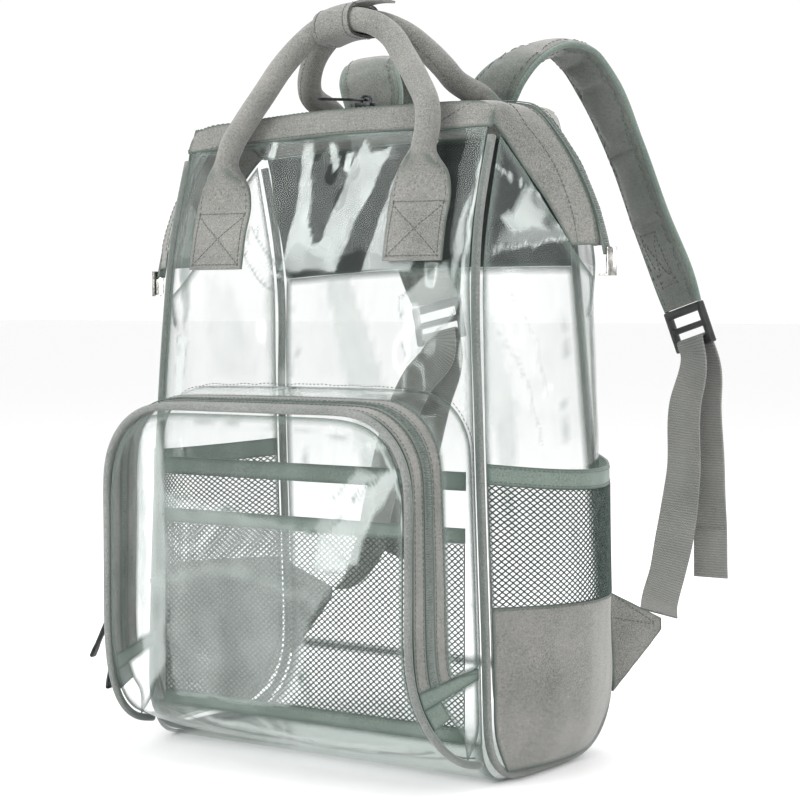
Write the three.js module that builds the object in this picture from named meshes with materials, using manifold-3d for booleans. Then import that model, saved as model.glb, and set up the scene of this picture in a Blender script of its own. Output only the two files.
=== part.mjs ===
// Clear stadium backpack with a framed zip mouth, a front zip pocket, two side pockets and two padded straps.
// Millimetres. Seen from the front, X points to the right, Y to the back and Z up.
// The origin lies on the floor, under the middle of the base.

import * as THREE from 'three';
import { mergeVertices } from 'three/addons/utils/BufferGeometryUtils.js';
import Module from 'manifold-3d';

const wasm = await Module();
wasm.setup();

// Sheets and clearances
const CLEAR_SHEET = 1;
const BASE_SHEET = 1.6;
const FABRIC = 1.6;
const CLEARANCE = 0.3;
const PIPING_RADIUS = 2.9;
const SHEET_INSET = 1.5;

// Main compartment
const BAG_HEIGHT = 404;
const BASE_WIDTH = 268;
const BASE_DEPTH = 150;
const FRONT_CORNER_RADIUS = 25;
const BACK_CORNER_RADIUS = 45;
const SIDE_BULGE = 50;
const YOKE_BOTTOM = 307;

// Zip mouth and its fabric collar
const MOUTH_Y = -12;
const MOUTH_CROWN = 2;
const MOUTH_STRAIGHT = 228;
const MOUTH_CORNER_RADIUS = 22;
const MOUTH_CORNER_TURN = THREE.MathUtils.degToRad(45);
const MOUTH_LEG_RADIUS = 165;
const MOUTH_LEG_TURN = THREE.MathUtils.degToRad(32);
const COIL_WIDTH = 6;
const COIL_THICKNESS = 2;
const HEM_HEIGHT = 16;
const END_CLIP = { width: 7, depth: 10, height: 17, wall: 1, grip: 5 };
const LEFT_SAG = 8;

// Front pocket
const POCKET_DEPTH = 56;
const POCKET_WIDTH = 230;
const POCKET_TOP = 221;
const POCKET_CORNER_RADIUS = 45;
const POCKET_SWEEP_START = 85;
const POCKET_SWEEP_END = 14;
const POCKET_FLOOR_START = 50;
const POCKET_FLOOR_END = 12;
const FOOTPRINT_TOP = 232;
const FOOTPRINT_RADIUS = 38;
const TAPE_WIDTH = 10;
const POCKET_COIL_WIDTH = 7;
const ZIP_END_HEIGHT = 61;
const ZIP_TAB_HEIGHT = 10;
const LEG_WIDTH = 18;
const LEG_BOTTOM = 38;

// Organiser on the front panel, inside the front pocket
const ORGANISER_WIDTH = 232;
const ORGANISER_BOTTOM = 25;
const ORGANISER_TOP = 152;
const ORGANISER_BINDING = 9;
const SLIP_BAND_BOTTOM = 174;
const SLIP_BAND_HEIGHT = 11;

// Side pockets
const SIDE_POCKET_TOP = 190;
const SIDE_POCKET_SAG = 5;
const SIDE_BINDING = 12;
const SIDE_FABRIC_TOP = 106;
const SIDE_POCKET_SWELL = 6;

// Nets, as diamonds between the strands
const SIDE_NET = { columns: 4, rows: 3, opening: 0.8 };
const ORGANISER_NET = { columns: 5, rows: 3, opening: 0.8 };

// Grab handles and the wrap that holds them together
const HANDLE_SPACING = 152;
const HANDLE_RADIUS = 8;
const HANDLE_BOTTOM = 309;
const HANDLE_TOP = 461;
const TAB_WIDTH = 44;
const TAB_THICKNESS = 2.4;
const WRAP_LENGTH = 26;
const WRAP_THICKNESS = 1.6;
const WRAP_CENTRE_X = -7;
const FLAP = { length: 20, overlap: 5, width: 15, thickness: 1.6, rise: 2 };

// Shoulder straps
const PAD_WIDTH = 48;
const PAD_THICKNESS = 10;
const PAD_ROOT_WIDTH = 38;
const PAD_ROOT_THICKNESS = 4;
const WEBBING_WIDTH = 25;
const WEBBING_THICKNESS = 1.5;
const LOCK = { width: 36, height: 28, thickness: 5, bar: 4, slot: 6.5 };
const ANCHOR = { top: 101, bottom: 36, reach: 34, apexHeight: 77, tip: 8, thickness: 2.4 };
const ANCHOR_SPREAD = { right: 19, left: -11 };

// Zip sliders and their pulls
const SLIDER = { length: 12, width: 9, thickness: 3.2, bridgeWidth: 2, bridgeRise: 5.6, bridgeBar: 1.4 };
const PULL = { length: 38, width: 6, thickness: 1.6, neck: 4.6, pin: 1.5 };
const MOUTH_SLIDER_X = -1;
const MOUTH_PULL_TILT = THREE.MathUtils.degToRad(4);
const POCKET_SLIDER_HEIGHTS = [92, 75];
const POCKET_PULL_TILTS = [26, 7].map(THREE.MathUtils.degToRad);

// Body sections from the floor to the collar, as shares of the height, half width, half depth and bulge
const BODY_SECTIONS = [
  { height: 0.000, width: 1.000, front: 1.000, back: 1.000, bulge: 0.06, ridge: 0.0 },
  { height: 0.120, width: 0.992, front: 1.000, back: 0.985, bulge: 0.40, ridge: 0.0 },
  { height: 0.200, width: 0.985, front: 1.000, back: 0.945, bulge: 0.48, ridge: 0.0 },
  { height: 0.320, width: 0.970, front: 1.000, back: 0.885, bulge: 0.57, ridge: 0.0 },
  { height: 0.500, width: 0.944, front: 0.987, back: 0.785, bulge: 0.70, ridge: 0.0 },
  { height: 0.660, width: 0.920, front: 0.965, back: 0.720, bulge: 0.84, ridge: 0.4 },
  { height: 0.755, width: 0.900, front: 0.952, back: 0.693, bulge: 1.00, ridge: 0.9 },
  { height: 0.880, width: 0.900, front: 0.800, back: 0.530, bulge: 1.20, ridge: 1.0 },
  { height: 1.000, width: 0.900, front: 0.600, back: 0.360, bulge: 1.20, ridge: 1.0 },
];

// Collar leg from the corner down to the clip: height as a share of the leg's fall, then where its fold and
// its hem lie between the zip and the body's edge, and how far the hem hangs, as a share of the hem's height
const COLLAR_LEG = [
  { fall: 0.06, fold: 0.72, hem: 1.00, hang: 0.62 },
  { fall: 0.18, fold: 0.50, hem: 0.90, hang: 0.16 },
  { fall: 0.33, fold: 0.36, hem: 0.72, hang: 0.05 },
  { fall: 0.50, fold: 0.28, hem: 0.56, hang: 0.00 },
  { fall: 0.67, fold: 0.25, hem: 0.44, hang: 0.00 },
  { fall: 0.84, fold: 0.23, hem: 0.34, hang: 0.00 },
  { fall: 1.00, fold: 0.20, hem: 0.235, hang: 0.00 },
];

// Grab handles: rise is the share of the way from the tab's foot to the top, left and right are shares of
// half the spacing, lift is the distance off the body in grip radii, inward the share of the way to the middle
const FRONT_HANDLE = [
  { rise: 0.000, left: 1.00, right: 1.00, lift: 0.0, inward: 0.00, round: 0.0 },
  { rise: 0.140, left: 1.00, right: 1.00, lift: 0.0, inward: 0.00, round: 0.0 },
  { rise: 0.270, left: 1.00, right: 1.00, lift: 0.0, inward: 0.00, round: 0.0 },
  { rise: 0.360, left: 0.99, right: 1.01, lift: 0.3, inward: 0.00, round: 0.3 },
  { rise: 0.440, left: 0.97, right: 1.03, lift: 1.1, inward: 0.00, round: 1.0 },
  { rise: 0.525, left: 0.92, right: 1.05, lift: 1.4, inward: 0.00, round: 1.0 },
  { rise: 0.605, left: 0.84, right: 1.01, lift: 1.5, inward: 0.05, round: 1.0 },
  { rise: 0.720, left: 0.72, right: 0.84, lift: 1.5, inward: 0.35, round: 1.0 },
  { rise: 0.830, left: 0.60, right: 0.64, lift: 1.5, inward: 0.66, round: 1.0 },
  { rise: 0.920, left: 0.44, right: 0.46, lift: 1.5, inward: 0.90, round: 1.0 },
];
const BACK_HANDLE = [
  { rise: 0.000, left: 0.80, right: 0.80, lift: 0.0, inward: 0.00, round: 0.0 },
  { rise: 0.140, left: 0.80, right: 0.80, lift: 0.0, inward: 0.00, round: 0.0 },
  { rise: 0.270, left: 0.80, right: 0.80, lift: 0.0, inward: 0.00, round: 0.0 },
  { rise: 0.360, left: 0.80, right: 0.80, lift: 0.0, inward: 0.00, round: 0.0 },
  { rise: 0.440, left: 0.80, right: 0.80, lift: 0.0, inward: 0.00, round: 0.0 },
  { rise: 0.500, left: 0.80, right: 0.80, lift: 0.0, inward: 0.00, round: 0.0 },
  { rise: 0.550, left: 0.80, right: 0.79, lift: 0.0, inward: 0.00, round: 0.0 },
  { rise: 0.630, left: 0.80, right: 0.78, lift: 0.6, inward: 0.00, round: 0.3 },
  { rise: 0.700, left: 0.80, right: 0.76, lift: 1.2, inward: 0.19, round: 0.9 },
  { rise: 0.722, left: 0.79, right: 0.75, lift: 1.2, inward: 0.41, round: 1.0 },
  { rise: 0.750, left: 0.76, right: 0.73, lift: 1.2, inward: 0.60, round: 1.0 },
  { rise: 0.800, left: 0.70, right: 0.69, lift: 1.2, inward: 0.74, round: 1.0 },
  { rise: 0.870, left: 0.60, right: 0.57, lift: 1.2, inward: 0.84, round: 1.0 },
  { rise: 0.930, left: 0.44, right: 0.44, lift: 1.2, inward: 0.94, round: 1.0 },
];
// Both grips run side by side under the wrap
const GRIP_TOP = [
  { rise: 0.972, left: 0.28, right: 0.28, lift: 1.5, inward: 1.00, round: 1.0 },
  { rise: 0.996, left: 0.10, right: 0.10, lift: 1.5, inward: 1.00, round: 1.0 },
];

// Shoulder straps, from the collar to the tongue above the ladder lock: out, back and up are shares of the
// strap's reach from the top of its root, turn is the yaw of its width in degrees, width a share of the pad's
const STRAP_ROOT = { x: 40, foot: 362, top: 388 };
const STRAP_REACH = 110;
const RIGHT_STRAP = [
  { out: 0.036, back: 0.110, up: 0.145, turn: 0, width: 0.85, fill: 0.55 },
  { out: 0.127, back: 0.130, up: 0.272, turn: -4, width: 0.88, fill: 0.90 },
  { out: 0.200, back: 0.182, up: 0.400, turn: -8, width: 0.88, fill: 1.00 },
  { out: 0.291, back: 0.282, up: 0.509, turn: -12, width: 0.88, fill: 1.00 },
  { out: 0.382, back: 0.427, up: 0.554, turn: -16, width: 0.90, fill: 1.00 },
  { out: 0.455, back: 0.536, up: 0.500, turn: -20, width: 0.94, fill: 1.00 },
  { out: 0.527, back: 0.618, up: 0.363, turn: -24, width: 0.98, fill: 1.00 },
  { out: 0.673, back: 0.736, up: -0.037, turn: -30, width: 1.00, fill: 1.00 },
  { out: 0.800, back: 0.818, up: -0.455, turn: -30, width: 1.00, fill: 1.00 },
  { out: 0.927, back: 0.882, up: -0.819, turn: -24, width: 0.92, fill: 0.85 },
  { out: 0.973, back: 0.900, up: -0.964, turn: -18, width: 0.74, fill: 0.45 },
];
const LEFT_STRAP = [
  { out: -0.009, back: 0.110, up: 0.145, turn: 0, width: 0.85, fill: 0.55 },
  { out: 0.000, back: 0.130, up: 0.272, turn: -6, width: 0.90, fill: 0.90 },
  { out: 0.082, back: 0.182, up: 0.454, turn: -10, width: 0.88, fill: 1.00 },
  { out: 0.164, back: 0.364, up: 0.554, turn: -14, width: 0.85, fill: 1.00 },
  { out: 0.200, back: 0.509, up: 0.491, turn: -16, width: 0.88, fill: 1.00 },
  { out: 0.200, back: 0.600, up: 0.272, turn: -16, width: 0.92, fill: 1.00 },
  { out: 0.127, back: 0.645, up: -0.109, turn: -16, width: 0.96, fill: 1.00 },
  { out: 0.036, back: 0.664, up: -0.455, turn: -14, width: 1.00, fill: 1.00 },
  { out: -0.064, back: 0.655, up: -0.764, turn: -12, width: 0.92, fill: 0.85 },
  { out: -0.100, back: 0.645, up: -0.928, turn: -10, width: 0.74, fill: 0.45 },
];

// Webbing from the lock down to the anchor tab: across and drop are shares of the way, out and sway are
// shares of the sway outwards and backwards, turn is the yaw of its width in degrees
const WEBBING_SWAY = 10;
const RIGHT_WEBBING = [
  { across: 0.19, drop: 0.19, out: -0.4, sway: 0.5, turn: -8 },
  { across: 0.48, drop: 0.48, out: -0.3, sway: 1.4, turn: 0 },
  { across: 0.67, drop: 0.67, out: -0.5, sway: 1.8, turn: 20 },
  { across: 0.85, drop: 0.85, out: -0.7, sway: 1.8, turn: 50 },
  { across: 0.96, drop: 0.96, out: -0.5, sway: 0.9, turn: 56 },
];
const LEFT_WEBBING = [
  { across: 0.20, drop: 0.14, out: 0.0, sway: -0.2, turn: -6 },
  { across: 0.44, drop: 0.37, out: 0.0, sway: 0.0, turn: 0 },
  { across: 0.61, drop: 0.63, out: 0.0, sway: 0.2, turn: 0 },
  { across: 0.78, drop: 0.88, out: 0.0, sway: 0.3, turn: 10 },
  { across: 0.92, drop: 0.97, out: 0.0, sway: 0.2, turn: 30 },
];
const TAILS = {
  right: { length: 148, lean: 2, set: 8, twist: 14 },
  left: { length: 148, lean: 58, set: 18, twist: 0 },
};

const V = (x, y, z) => new THREE.Vector3(x, y, z);
const lerp = THREE.MathUtils.lerp;
const clamp = THREE.MathUtils.clamp;
const steps = (count) => Array.from({ length: count + 1 }, (_, i) => i / count);

// Value of one column of a table at a share of its key column, on a smooth monotone curve
function read(table, key, column, share) {
  const at = clamp(share, table[0][key], table[table.length - 1][key]);
  let i = 0;
  while (i < table.length - 2 && at > table[i + 1][key]) i += 1;
  const slope = (j) => {
    const secant = (k) => (table[k + 1][column] - table[k][column]) / (table[k + 1][key] - table[k][key]);
    if (j === 0) return secant(0);
    if (j === table.length - 1) return secant(j - 1);
    const [before, after] = [secant(j - 1), secant(j)];
    return before * after > 0 ? (2 * before * after) / (before + after) : 0;
  };
  const span = table[i + 1][key] - table[i][key];
  const t = (at - table[i][key]) / span;
  const [a, b] = [table[i][column], table[i + 1][column]];
  const rise = (t * t * (3 - 2 * t)) * (b - a);
  const lean = t * (1 - t) * ((1 - t) * slope(i) - t * slope(i + 1)) * span;
  return a + rise + lean;
}

// Closed body from triangles on a list of points, its faces turned outwards
function body(points, triangles) {
  const signed = triangles.reduce(
    (sum, [a, b, c]) => sum + points[a].dot(V().crossVectors(points[b], points[c])), 0);
  const faces = signed < 0 ? triangles.map(([a, b, c]) => [a, c, b]) : triangles;
  const geometry = new THREE.BufferGeometry();
  geometry.setAttribute('position', new THREE.Float32BufferAttribute(points.flatMap((p) => p.toArray()), 3));
  geometry.setIndex(faces.flat());
  return geometry;
}

// Unit normal at each point of a grid, from its neighbours
function gridNormals(grid) {
  return grid.map((row, i) => row.map((_, j) => {
    const down = V().subVectors(grid[Math.min(i + 1, grid.length - 1)][j], grid[Math.max(i - 1, 0)][j]);
    const along = V().subVectors(row[Math.min(j + 1, row.length - 1)], row[Math.max(j - 1, 0)]);
    return V().crossVectors(along, down).normalize();
  }));
}

// A sheet of even thickness around the middle surface that a grid of points gives
function sheet(grid, thickness) {
  const normals = gridNormals(grid);
  const [rows, columns] = [grid.length, grid[0].length];
  const face = (side) => grid.flatMap((row, i) => row.map(
    (p, j) => p.clone().addScaledVector(normals[i][j], (side * thickness) / 2)));
  const points = [...face(1), ...face(-1)];
  const back = rows * columns;
  const at = (i, j) => i * columns + j;
  const triangles = [];
  const quad = (a, b, c, d) => triangles.push([a, b, c], [a, c, d]);
  for (let i = 0; i < rows - 1; i += 1) {
    for (let j = 0; j < columns - 1; j += 1) {
      quad(at(i, j), at(i, j + 1), at(i + 1, j + 1), at(i + 1, j));
      quad(back + at(i, j), back + at(i + 1, j), back + at(i + 1, j + 1), back + at(i, j + 1));
    }
  }
  const rim = [
    ...steps(columns - 1).slice(0, -1).map((_, j) => at(0, j)),
    ...steps(rows - 1).slice(0, -1).map((_, i) => at(i, columns - 1)),
    ...steps(columns - 1).slice(0, -1).map((_, j) => at(rows - 1, columns - 1 - j)),
    ...steps(rows - 1).slice(0, -1).map((_, i) => at(rows - 1 - i, 0)),
  ];
  rim.forEach((a, k) => {
    const b = rim[(k + 1) % rim.length];
    quad(a, back + a, back + b, b);
  });
  return body(points, triangles);
}

// A net of diamond openings: the corners and middles of a grid's cells are the knots of its strands
function net(surface, { columns, rows, opening }, thickness) {
  const points = [];
  const triangles = [];
  const reach = 0.01;
  const knot = (u, v) => {
    const [p, right, up] = [surface(u, v), surface(u + reach, v), surface(u, v + reach)];
    const normal = V().crossVectors(right.sub(p), up.sub(p)).normalize();
    points.push(p.clone().addScaledVector(normal, thickness / 2), p.clone().addScaledVector(normal, -thickness / 2));
    return points.length - 2;
  };
  const corner = steps(rows).map((v) => steps(columns).map((u) => knot(u, v)));
  const middle = steps(rows).slice(0, -1).map((v) => steps(columns).slice(0, -1).map(
    (u) => knot(u + 0.5 / columns, v + 0.5 / rows)));
  const cell = (knots) => {
    const hole = [0, 1].map((face) => {
      const centre = knots.reduce((sum, k) => sum.add(points[k + face]), V()).divideScalar(knots.length);
      return knots.map((k) => {
        points.push(points[k + face].clone().lerp(centre, 1 - opening));
        return points.length - 1;
      });
    });
    knots.forEach((k, i) => {
      const n = (i + 1) % knots.length;
      const next = knots[n];
      triangles.push([k, next, hole[0][n]], [k, hole[0][n], hole[0][i]]);
      triangles.push([next + 1, k + 1, hole[1][i]], [next + 1, hole[1][i], hole[1][n]]);
      triangles.push([hole[0][i], hole[0][n], hole[1][n]], [hole[0][i], hole[1][n], hole[1][i]]);
    });
  };
  for (let i = 0; i < rows; i += 1) {
    for (let j = 0; j < columns; j += 1) {
      if (j < columns - 1) cell([corner[i][j + 1], middle[i][j + 1], corner[i + 1][j + 1], middle[i][j]]);
      if (i < rows - 1) cell([middle[i][j], corner[i + 1][j + 1], middle[i + 1][j], corner[i + 1][j]]);
    }
    cell([corner[i][0], middle[i][0], corner[i + 1][0]]);
    cell([corner[i + 1][columns], middle[i][columns - 1], corner[i][columns]]);
  }
  for (let j = 0; j < columns; j += 1) {
    cell([corner[0][j], corner[0][j + 1], middle[0][j]]);
    cell([corner[rows][j + 1], corner[rows][j], middle[rows - 1][j]]);
  }
  const outline = [
    ...steps(columns).slice(0, -1).map((_, j) => [corner[0][j], corner[0][j + 1]]),
    ...steps(rows).slice(0, -1).map((_, i) => [corner[i][columns], corner[i + 1][columns]]),
    ...steps(columns).slice(0, -1).map((_, j) => [corner[rows][j + 1], corner[rows][j]]),
    ...steps(rows).slice(0, -1).map((_, i) => [corner[i + 1][0], corner[i][0]]),
  ];
  outline.forEach(([a, b]) => triangles.push([a, a + 1, b + 1], [a, b + 1, b]));
  return body(points, triangles);
}

// A closed body through rings of points, with flat ends
function loft(rings) {
  const sides = rings[0].length;
  const points = rings.flat();
  const triangles = [];
  for (let i = 0; i < rings.length - 1; i += 1) {
    for (let j = 0; j < sides; j += 1) {
      const [a, b] = [i * sides + j, i * sides + ((j + 1) % sides)];
      triangles.push([a, b, b + sides], [a, b + sides, a + sides]);
    }
  }
  const last = (rings.length - 1) * sides;
  for (let j = 1; j < sides - 1; j += 1) {
    triangles.push([0, j + 1, j], [last, last + j, last + j + 1]);
  }
  return body(points, triangles);
}

// A pipe whose wall lies between two lists of rings
function sleeve(outer, inner) {
  const sides = outer[0].length;
  const points = [...outer.flat(), ...inner.flat()];
  const shift = outer.flat().length;
  const last = (outer.length - 1) * sides;
  const triangles = [];
  const quad = (a, b, c, d) => triangles.push([a, b, c], [a, c, d]);
  for (let j = 0; j < sides; j += 1) {
    const n = (j + 1) % sides;
    for (let i = 0; i < outer.length - 1; i += 1) {
      const [a, b] = [i * sides + j, i * sides + n];
      quad(a, b, b + sides, a + sides);
      quad(shift + b, shift + a, shift + a + sides, shift + b + sides);
    }
    quad(n, j, shift + j, shift + n);
    quad(last + j, last + n, shift + last + n, shift + last + j);
  }
  return body(points, triangles);
}

// A tube along a curve
function tube(curve, radius, count, sides) {
  const section = new THREE.Shape(steps(sides).slice(0, -1).map(
    (t) => new THREE.Vector2(radius * Math.cos(2 * Math.PI * t), radius * Math.sin(2 * Math.PI * t))));
  return new THREE.ExtrudeGeometry(section, { extrudePath: curve, steps: count });
}

// Rounded oblong section: a superellipse of given width and thickness in the plane of two directions
function oblong(centre, across, through, width, thickness, sides, squareness) {
  return steps(sides).slice(0, -1).map((t) => {
    const angle = 2 * Math.PI * (t + 0.5 / sides);
    const [c, s] = [Math.cos(angle), Math.sin(angle)];
    const power = lerp(1, 0.45, squareness);
    return centre.clone()
      .addScaledVector(across, (width / 2) * Math.sign(c) * Math.abs(c) ** power)
      .addScaledVector(through, (thickness / 2) * Math.sign(s) * Math.abs(s) ** power);
  });
}

const solidOf = (geometry) => {
  const bare = geometry.index ? geometry.clone() : geometry;
  bare.deleteAttribute('normal');
  bare.deleteAttribute('uv');
  const merged = mergeVertices(bare, 1e-4);
  return new wasm.Manifold(new wasm.Mesh({
    numProp: 3,
    vertProperties: new Float32Array(merged.attributes.position.array),
    triVerts: new Uint32Array(merged.index.array),
  }));
};

const geometryOf = (solid) => {
  const mesh = solid.getMesh();
  const geometry = new THREE.BufferGeometry();
  geometry.setAttribute('position', new THREE.BufferAttribute(new Float32Array(mesh.vertProperties), 3));
  geometry.setIndex(new THREE.BufferAttribute(new Uint32Array(mesh.triVerts), 1));
  return geometry;
};

// Outer faces of the body at a height, with the rounded lower corners
const halfWidth = (z) => (BASE_WIDTH / 2) * read(BODY_SECTIONS, 'height', 'width', z / BAG_HEIGHT);

// Front and back of the body's side outline, moved inwards by an inset
const flatFront = (z) => -(BASE_DEPTH / 2) * read(BODY_SECTIONS, 'height', 'front', z / BAG_HEIGHT);
const flatBack = (z) => (BASE_DEPTH / 2) * read(BODY_SECTIONS, 'height', 'back', z / BAG_HEIGHT);
const cornerInset = (z, radius, inset) => (z < radius
  ? radius - Math.sqrt(Math.max(0, (radius - inset) ** 2 - (radius - z) ** 2)) : inset);
const insetFront = (z, inset) => flatFront(z) + cornerInset(z, FRONT_CORNER_RADIUS, inset);
const insetBack = (z, inset) => flatBack(z) - cornerInset(z, BACK_CORNER_RADIUS, inset);
const frontY = (z) => insetFront(z, 0);
const backY = (z) => insetBack(z, 0);

// Middle of the piping along the body's edges
const edgeX = (z) => halfWidth(z) - PIPING_RADIUS;
const edgeFront = (z) => insetFront(z, PIPING_RADIUS);
const edgeBack = (z) => insetBack(z, PIPING_RADIUS);
const SEAM = PIPING_RADIUS + CLEARANCE;

// The mouth's line, from its middle to the end of a leg
const MOUTH_TOP = BAG_HEIGHT;
const mouthCorner = {
  x: MOUTH_STRAIGHT / 2 + MOUTH_CORNER_RADIUS * Math.sin(MOUTH_CORNER_TURN),
  z: MOUTH_TOP - MOUTH_CORNER_RADIUS * (1 - Math.cos(MOUTH_CORNER_TURN)),
};
const legEndTurn = MOUTH_CORNER_TURN + MOUTH_LEG_TURN;
const mouthEndZ = mouthCorner.z - MOUTH_LEG_RADIUS * (Math.cos(MOUTH_CORNER_TURN) - Math.cos(legEndTurn));

// Half width of the mouth's arch at a height
function mouthX(z) {
  if (z >= mouthCorner.z) {
    const drop = clamp(MOUTH_TOP - z, 0, MOUTH_CORNER_RADIUS);
    const turn = Math.acos(1 - drop / MOUTH_CORNER_RADIUS);
    return MOUTH_STRAIGHT / 2 + MOUTH_CORNER_RADIUS * Math.sin(turn);
  }
  const turn = Math.acos(Math.cos(MOUTH_CORNER_TURN) - (mouthCorner.z - z) / MOUTH_LEG_RADIUS);
  return mouthCorner.x + MOUTH_LEG_RADIUS * (Math.sin(turn) - Math.sin(MOUTH_CORNER_TURN));
}
const mouthZ = (x) => MOUTH_TOP + MOUTH_CROWN * (1 - (2 * x / MOUTH_STRAIGHT) ** 2);
const legZ = (fall) => lerp(BAG_HEIGHT, mouthEndZ, fall);

// Ridge of a bulging side at a height, and its place between front and back
const ridgeX = (z) => (z > mouthEndZ ? mouthX(z)
  : edgeX(z) + SIDE_BULGE * read(BODY_SECTIONS, 'height', 'bulge', z / BAG_HEIGHT));
const ridgeY = (z) => lerp((edgeFront(z) + edgeBack(z)) / 2, MOUTH_Y,
  THREE.MathUtils.smoothstep(z, 0.5 * BAG_HEIGHT, mouthEndZ));

// Point of the right side's middle surface: u from the front edge to the back edge
function sidePoint(u, z) {
  const sharp = read(BODY_SECTIONS, 'height', 'ridge', z / BAG_HEIGHT);
  const swell = lerp(Math.sin(Math.PI * u), 1 - Math.abs(1 - 2 * u), sharp);
  const y = u < 0.5 ? lerp(edgeFront(z), ridgeY(z), 2 * u) : lerp(ridgeY(z), edgeBack(z), 2 * u - 1);
  return V(lerp(edgeX(z), ridgeX(z), swell), y, z);
}

// Share of the way across a side, from 0 to 1 between the sheets' edges that clear the pipings
function sideShare(t, z) {
  const sharp = read(BODY_SECTIONS, 'height', 'ridge', z / BAG_HEIGHT);
  const depth = edgeBack(z) - edgeFront(z);
  const slant = depth / Math.hypot(depth, lerp(Math.PI, 2, sharp) * (ridgeX(z) - edgeX(z)));
  const inset = PIPING_RADIUS + SEAM + (2 + 4 * sharp) * CLEARANCE;
  const start = (0.5 * slant * (insetFront(z, inset) - edgeFront(z))) / (ridgeY(z) - edgeFront(z));
  const end = (0.5 * slant * (edgeBack(z) - insetBack(z, inset))) / (edgeBack(z) - ridgeY(z));
  return lerp(start, 1 - end, t);
}
const mirror = (side) => (p) => V(side * p.x, p.y, p.z);

// The mouth sags a little at its left end: how far the soft pieces sink there
function sagAt(x, z) {
  const across = clamp(-x / (BASE_WIDTH / 2), 0, 1.4);
  const high = THREE.MathUtils.smoothstep(z, 0.5 * BAG_HEIGHT, 0.75 * BAG_HEIGHT);
  return LEFT_SAG * high * across ** 1.3;
}

const finish = {
  clear: { color: 0xe4ecea, roughness: 0.12, metalness: 0 },
  fabric: { color: 0x92928e, roughness: 0.9, metalness: 0 },
  binding: { color: 0x6c7c74, roughness: 0.85, metalness: 0 },
  net: { color: 0x3c4844, roughness: 0.8, metalness: 0 },
  coil: { color: 0x7f918a, roughness: 0.55, metalness: 0 },
  chrome: { color: 0xc9cac8, roughness: 0.2, metalness: 1 },
  gunmetal: { color: 0x2b2d2e, roughness: 0.35, metalness: 0.9 },
  plastic: { color: 0x151617, roughness: 0.45, metalness: 0 },
};
const bag = new THREE.Group();
function add(name, geometry, look, parent = bag) {
  const mesh = new THREE.Mesh(geometry, new THREE.MeshStandardMaterial(finish[look]));
  mesh.name = name;
  parent.add(mesh);
  return mesh;
}
const sides = [{ word: 'right', sign: 1 }, { word: 'left', sign: -1 }];

// Clear panels between the pipings
function facePanel(faceY, inward, low, high, rows) {
  const columns = 6;
  return steps(rows).map((v) => {
    const z = lerp(low, high, v);
    const reach = edgeX(z) - SEAM;
    return steps(columns).map((u) => V(lerp(-reach, reach, u), faceY(z) + inward * SHEET_INSET, z));
  });
}
const HEM_Z = BAG_HEIGHT - HEM_HEIGHT;
const HEM_GAP = 9 * CLEARANCE;

function addPanels() {
  const hemLine = HEM_Z - CLEARANCE;
  add('front_panel', sheet(facePanel(frontY, 1, FRONT_CORNER_RADIUS + CLEARANCE, hemLine, 9), CLEAR_SHEET), 'clear');
  add('back_panel', sheet(facePanel(backY, -1, BACK_CORNER_RADIUS + CLEARANCE, YOKE_BOTTOM, 6), CLEAR_SHEET), 'clear');
  add('back_yoke', sheet(facePanel(backY, -1, YOKE_BOTTOM + CLEARANCE, hemLine, 4), FABRIC), 'fabric');

  const inset = BASE_SHEET / 2;
  const quarter = steps(5).map((t) => (t * Math.PI) / 2);
  const frontArc = quarter.map((a) => ({
    y: frontY(FRONT_CORNER_RADIUS) + FRONT_CORNER_RADIUS - (FRONT_CORNER_RADIUS - inset) * Math.cos(a),
    z: FRONT_CORNER_RADIUS - (FRONT_CORNER_RADIUS - inset) * Math.sin(a),
  }));
  const backArc = quarter.map((a) => ({
    y: backY(BACK_CORNER_RADIUS) - BACK_CORNER_RADIUS + (BACK_CORNER_RADIUS - inset) * Math.sin(a),
    z: BACK_CORNER_RADIUS - (BACK_CORNER_RADIUS - inset) * Math.cos(a),
  }));
  const profile = [...frontArc, ...backArc];
  add('base_panel', sheet(profile.map(({ y, z }) => {
    const reach = edgeX(z) - SEAM;
    return steps(4).map((u) => V(lerp(-reach, reach, u), y, z));
  }), BASE_SHEET), 'clear');
}

// The hem of the collar on the side: height of its lower edge at a share of the way from zip to edge
const HEM_LINE = COLLAR_LEG.map((row) => ({
  share: row.hem,
  z: legZ(row.fall) - row.hang * HEM_HEIGHT,
})).reverse();
function hemHeight(share) {
  if (share >= 1) return HEM_Z;
  if (share <= HEM_LINE[0].share) {
    return lerp(mouthEndZ - END_CLIP.height, HEM_LINE[0].z, share / HEM_LINE[0].share);
  }
  const i = HEM_LINE.findIndex((row) => row.share > share);
  const above = HEM_LINE[i] ?? { share: 1, z: HEM_Z };
  const below = HEM_LINE[i - 1];
  return lerp(below.z, above.z, (share - below.share) / (above.share - below.share));
}

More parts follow.
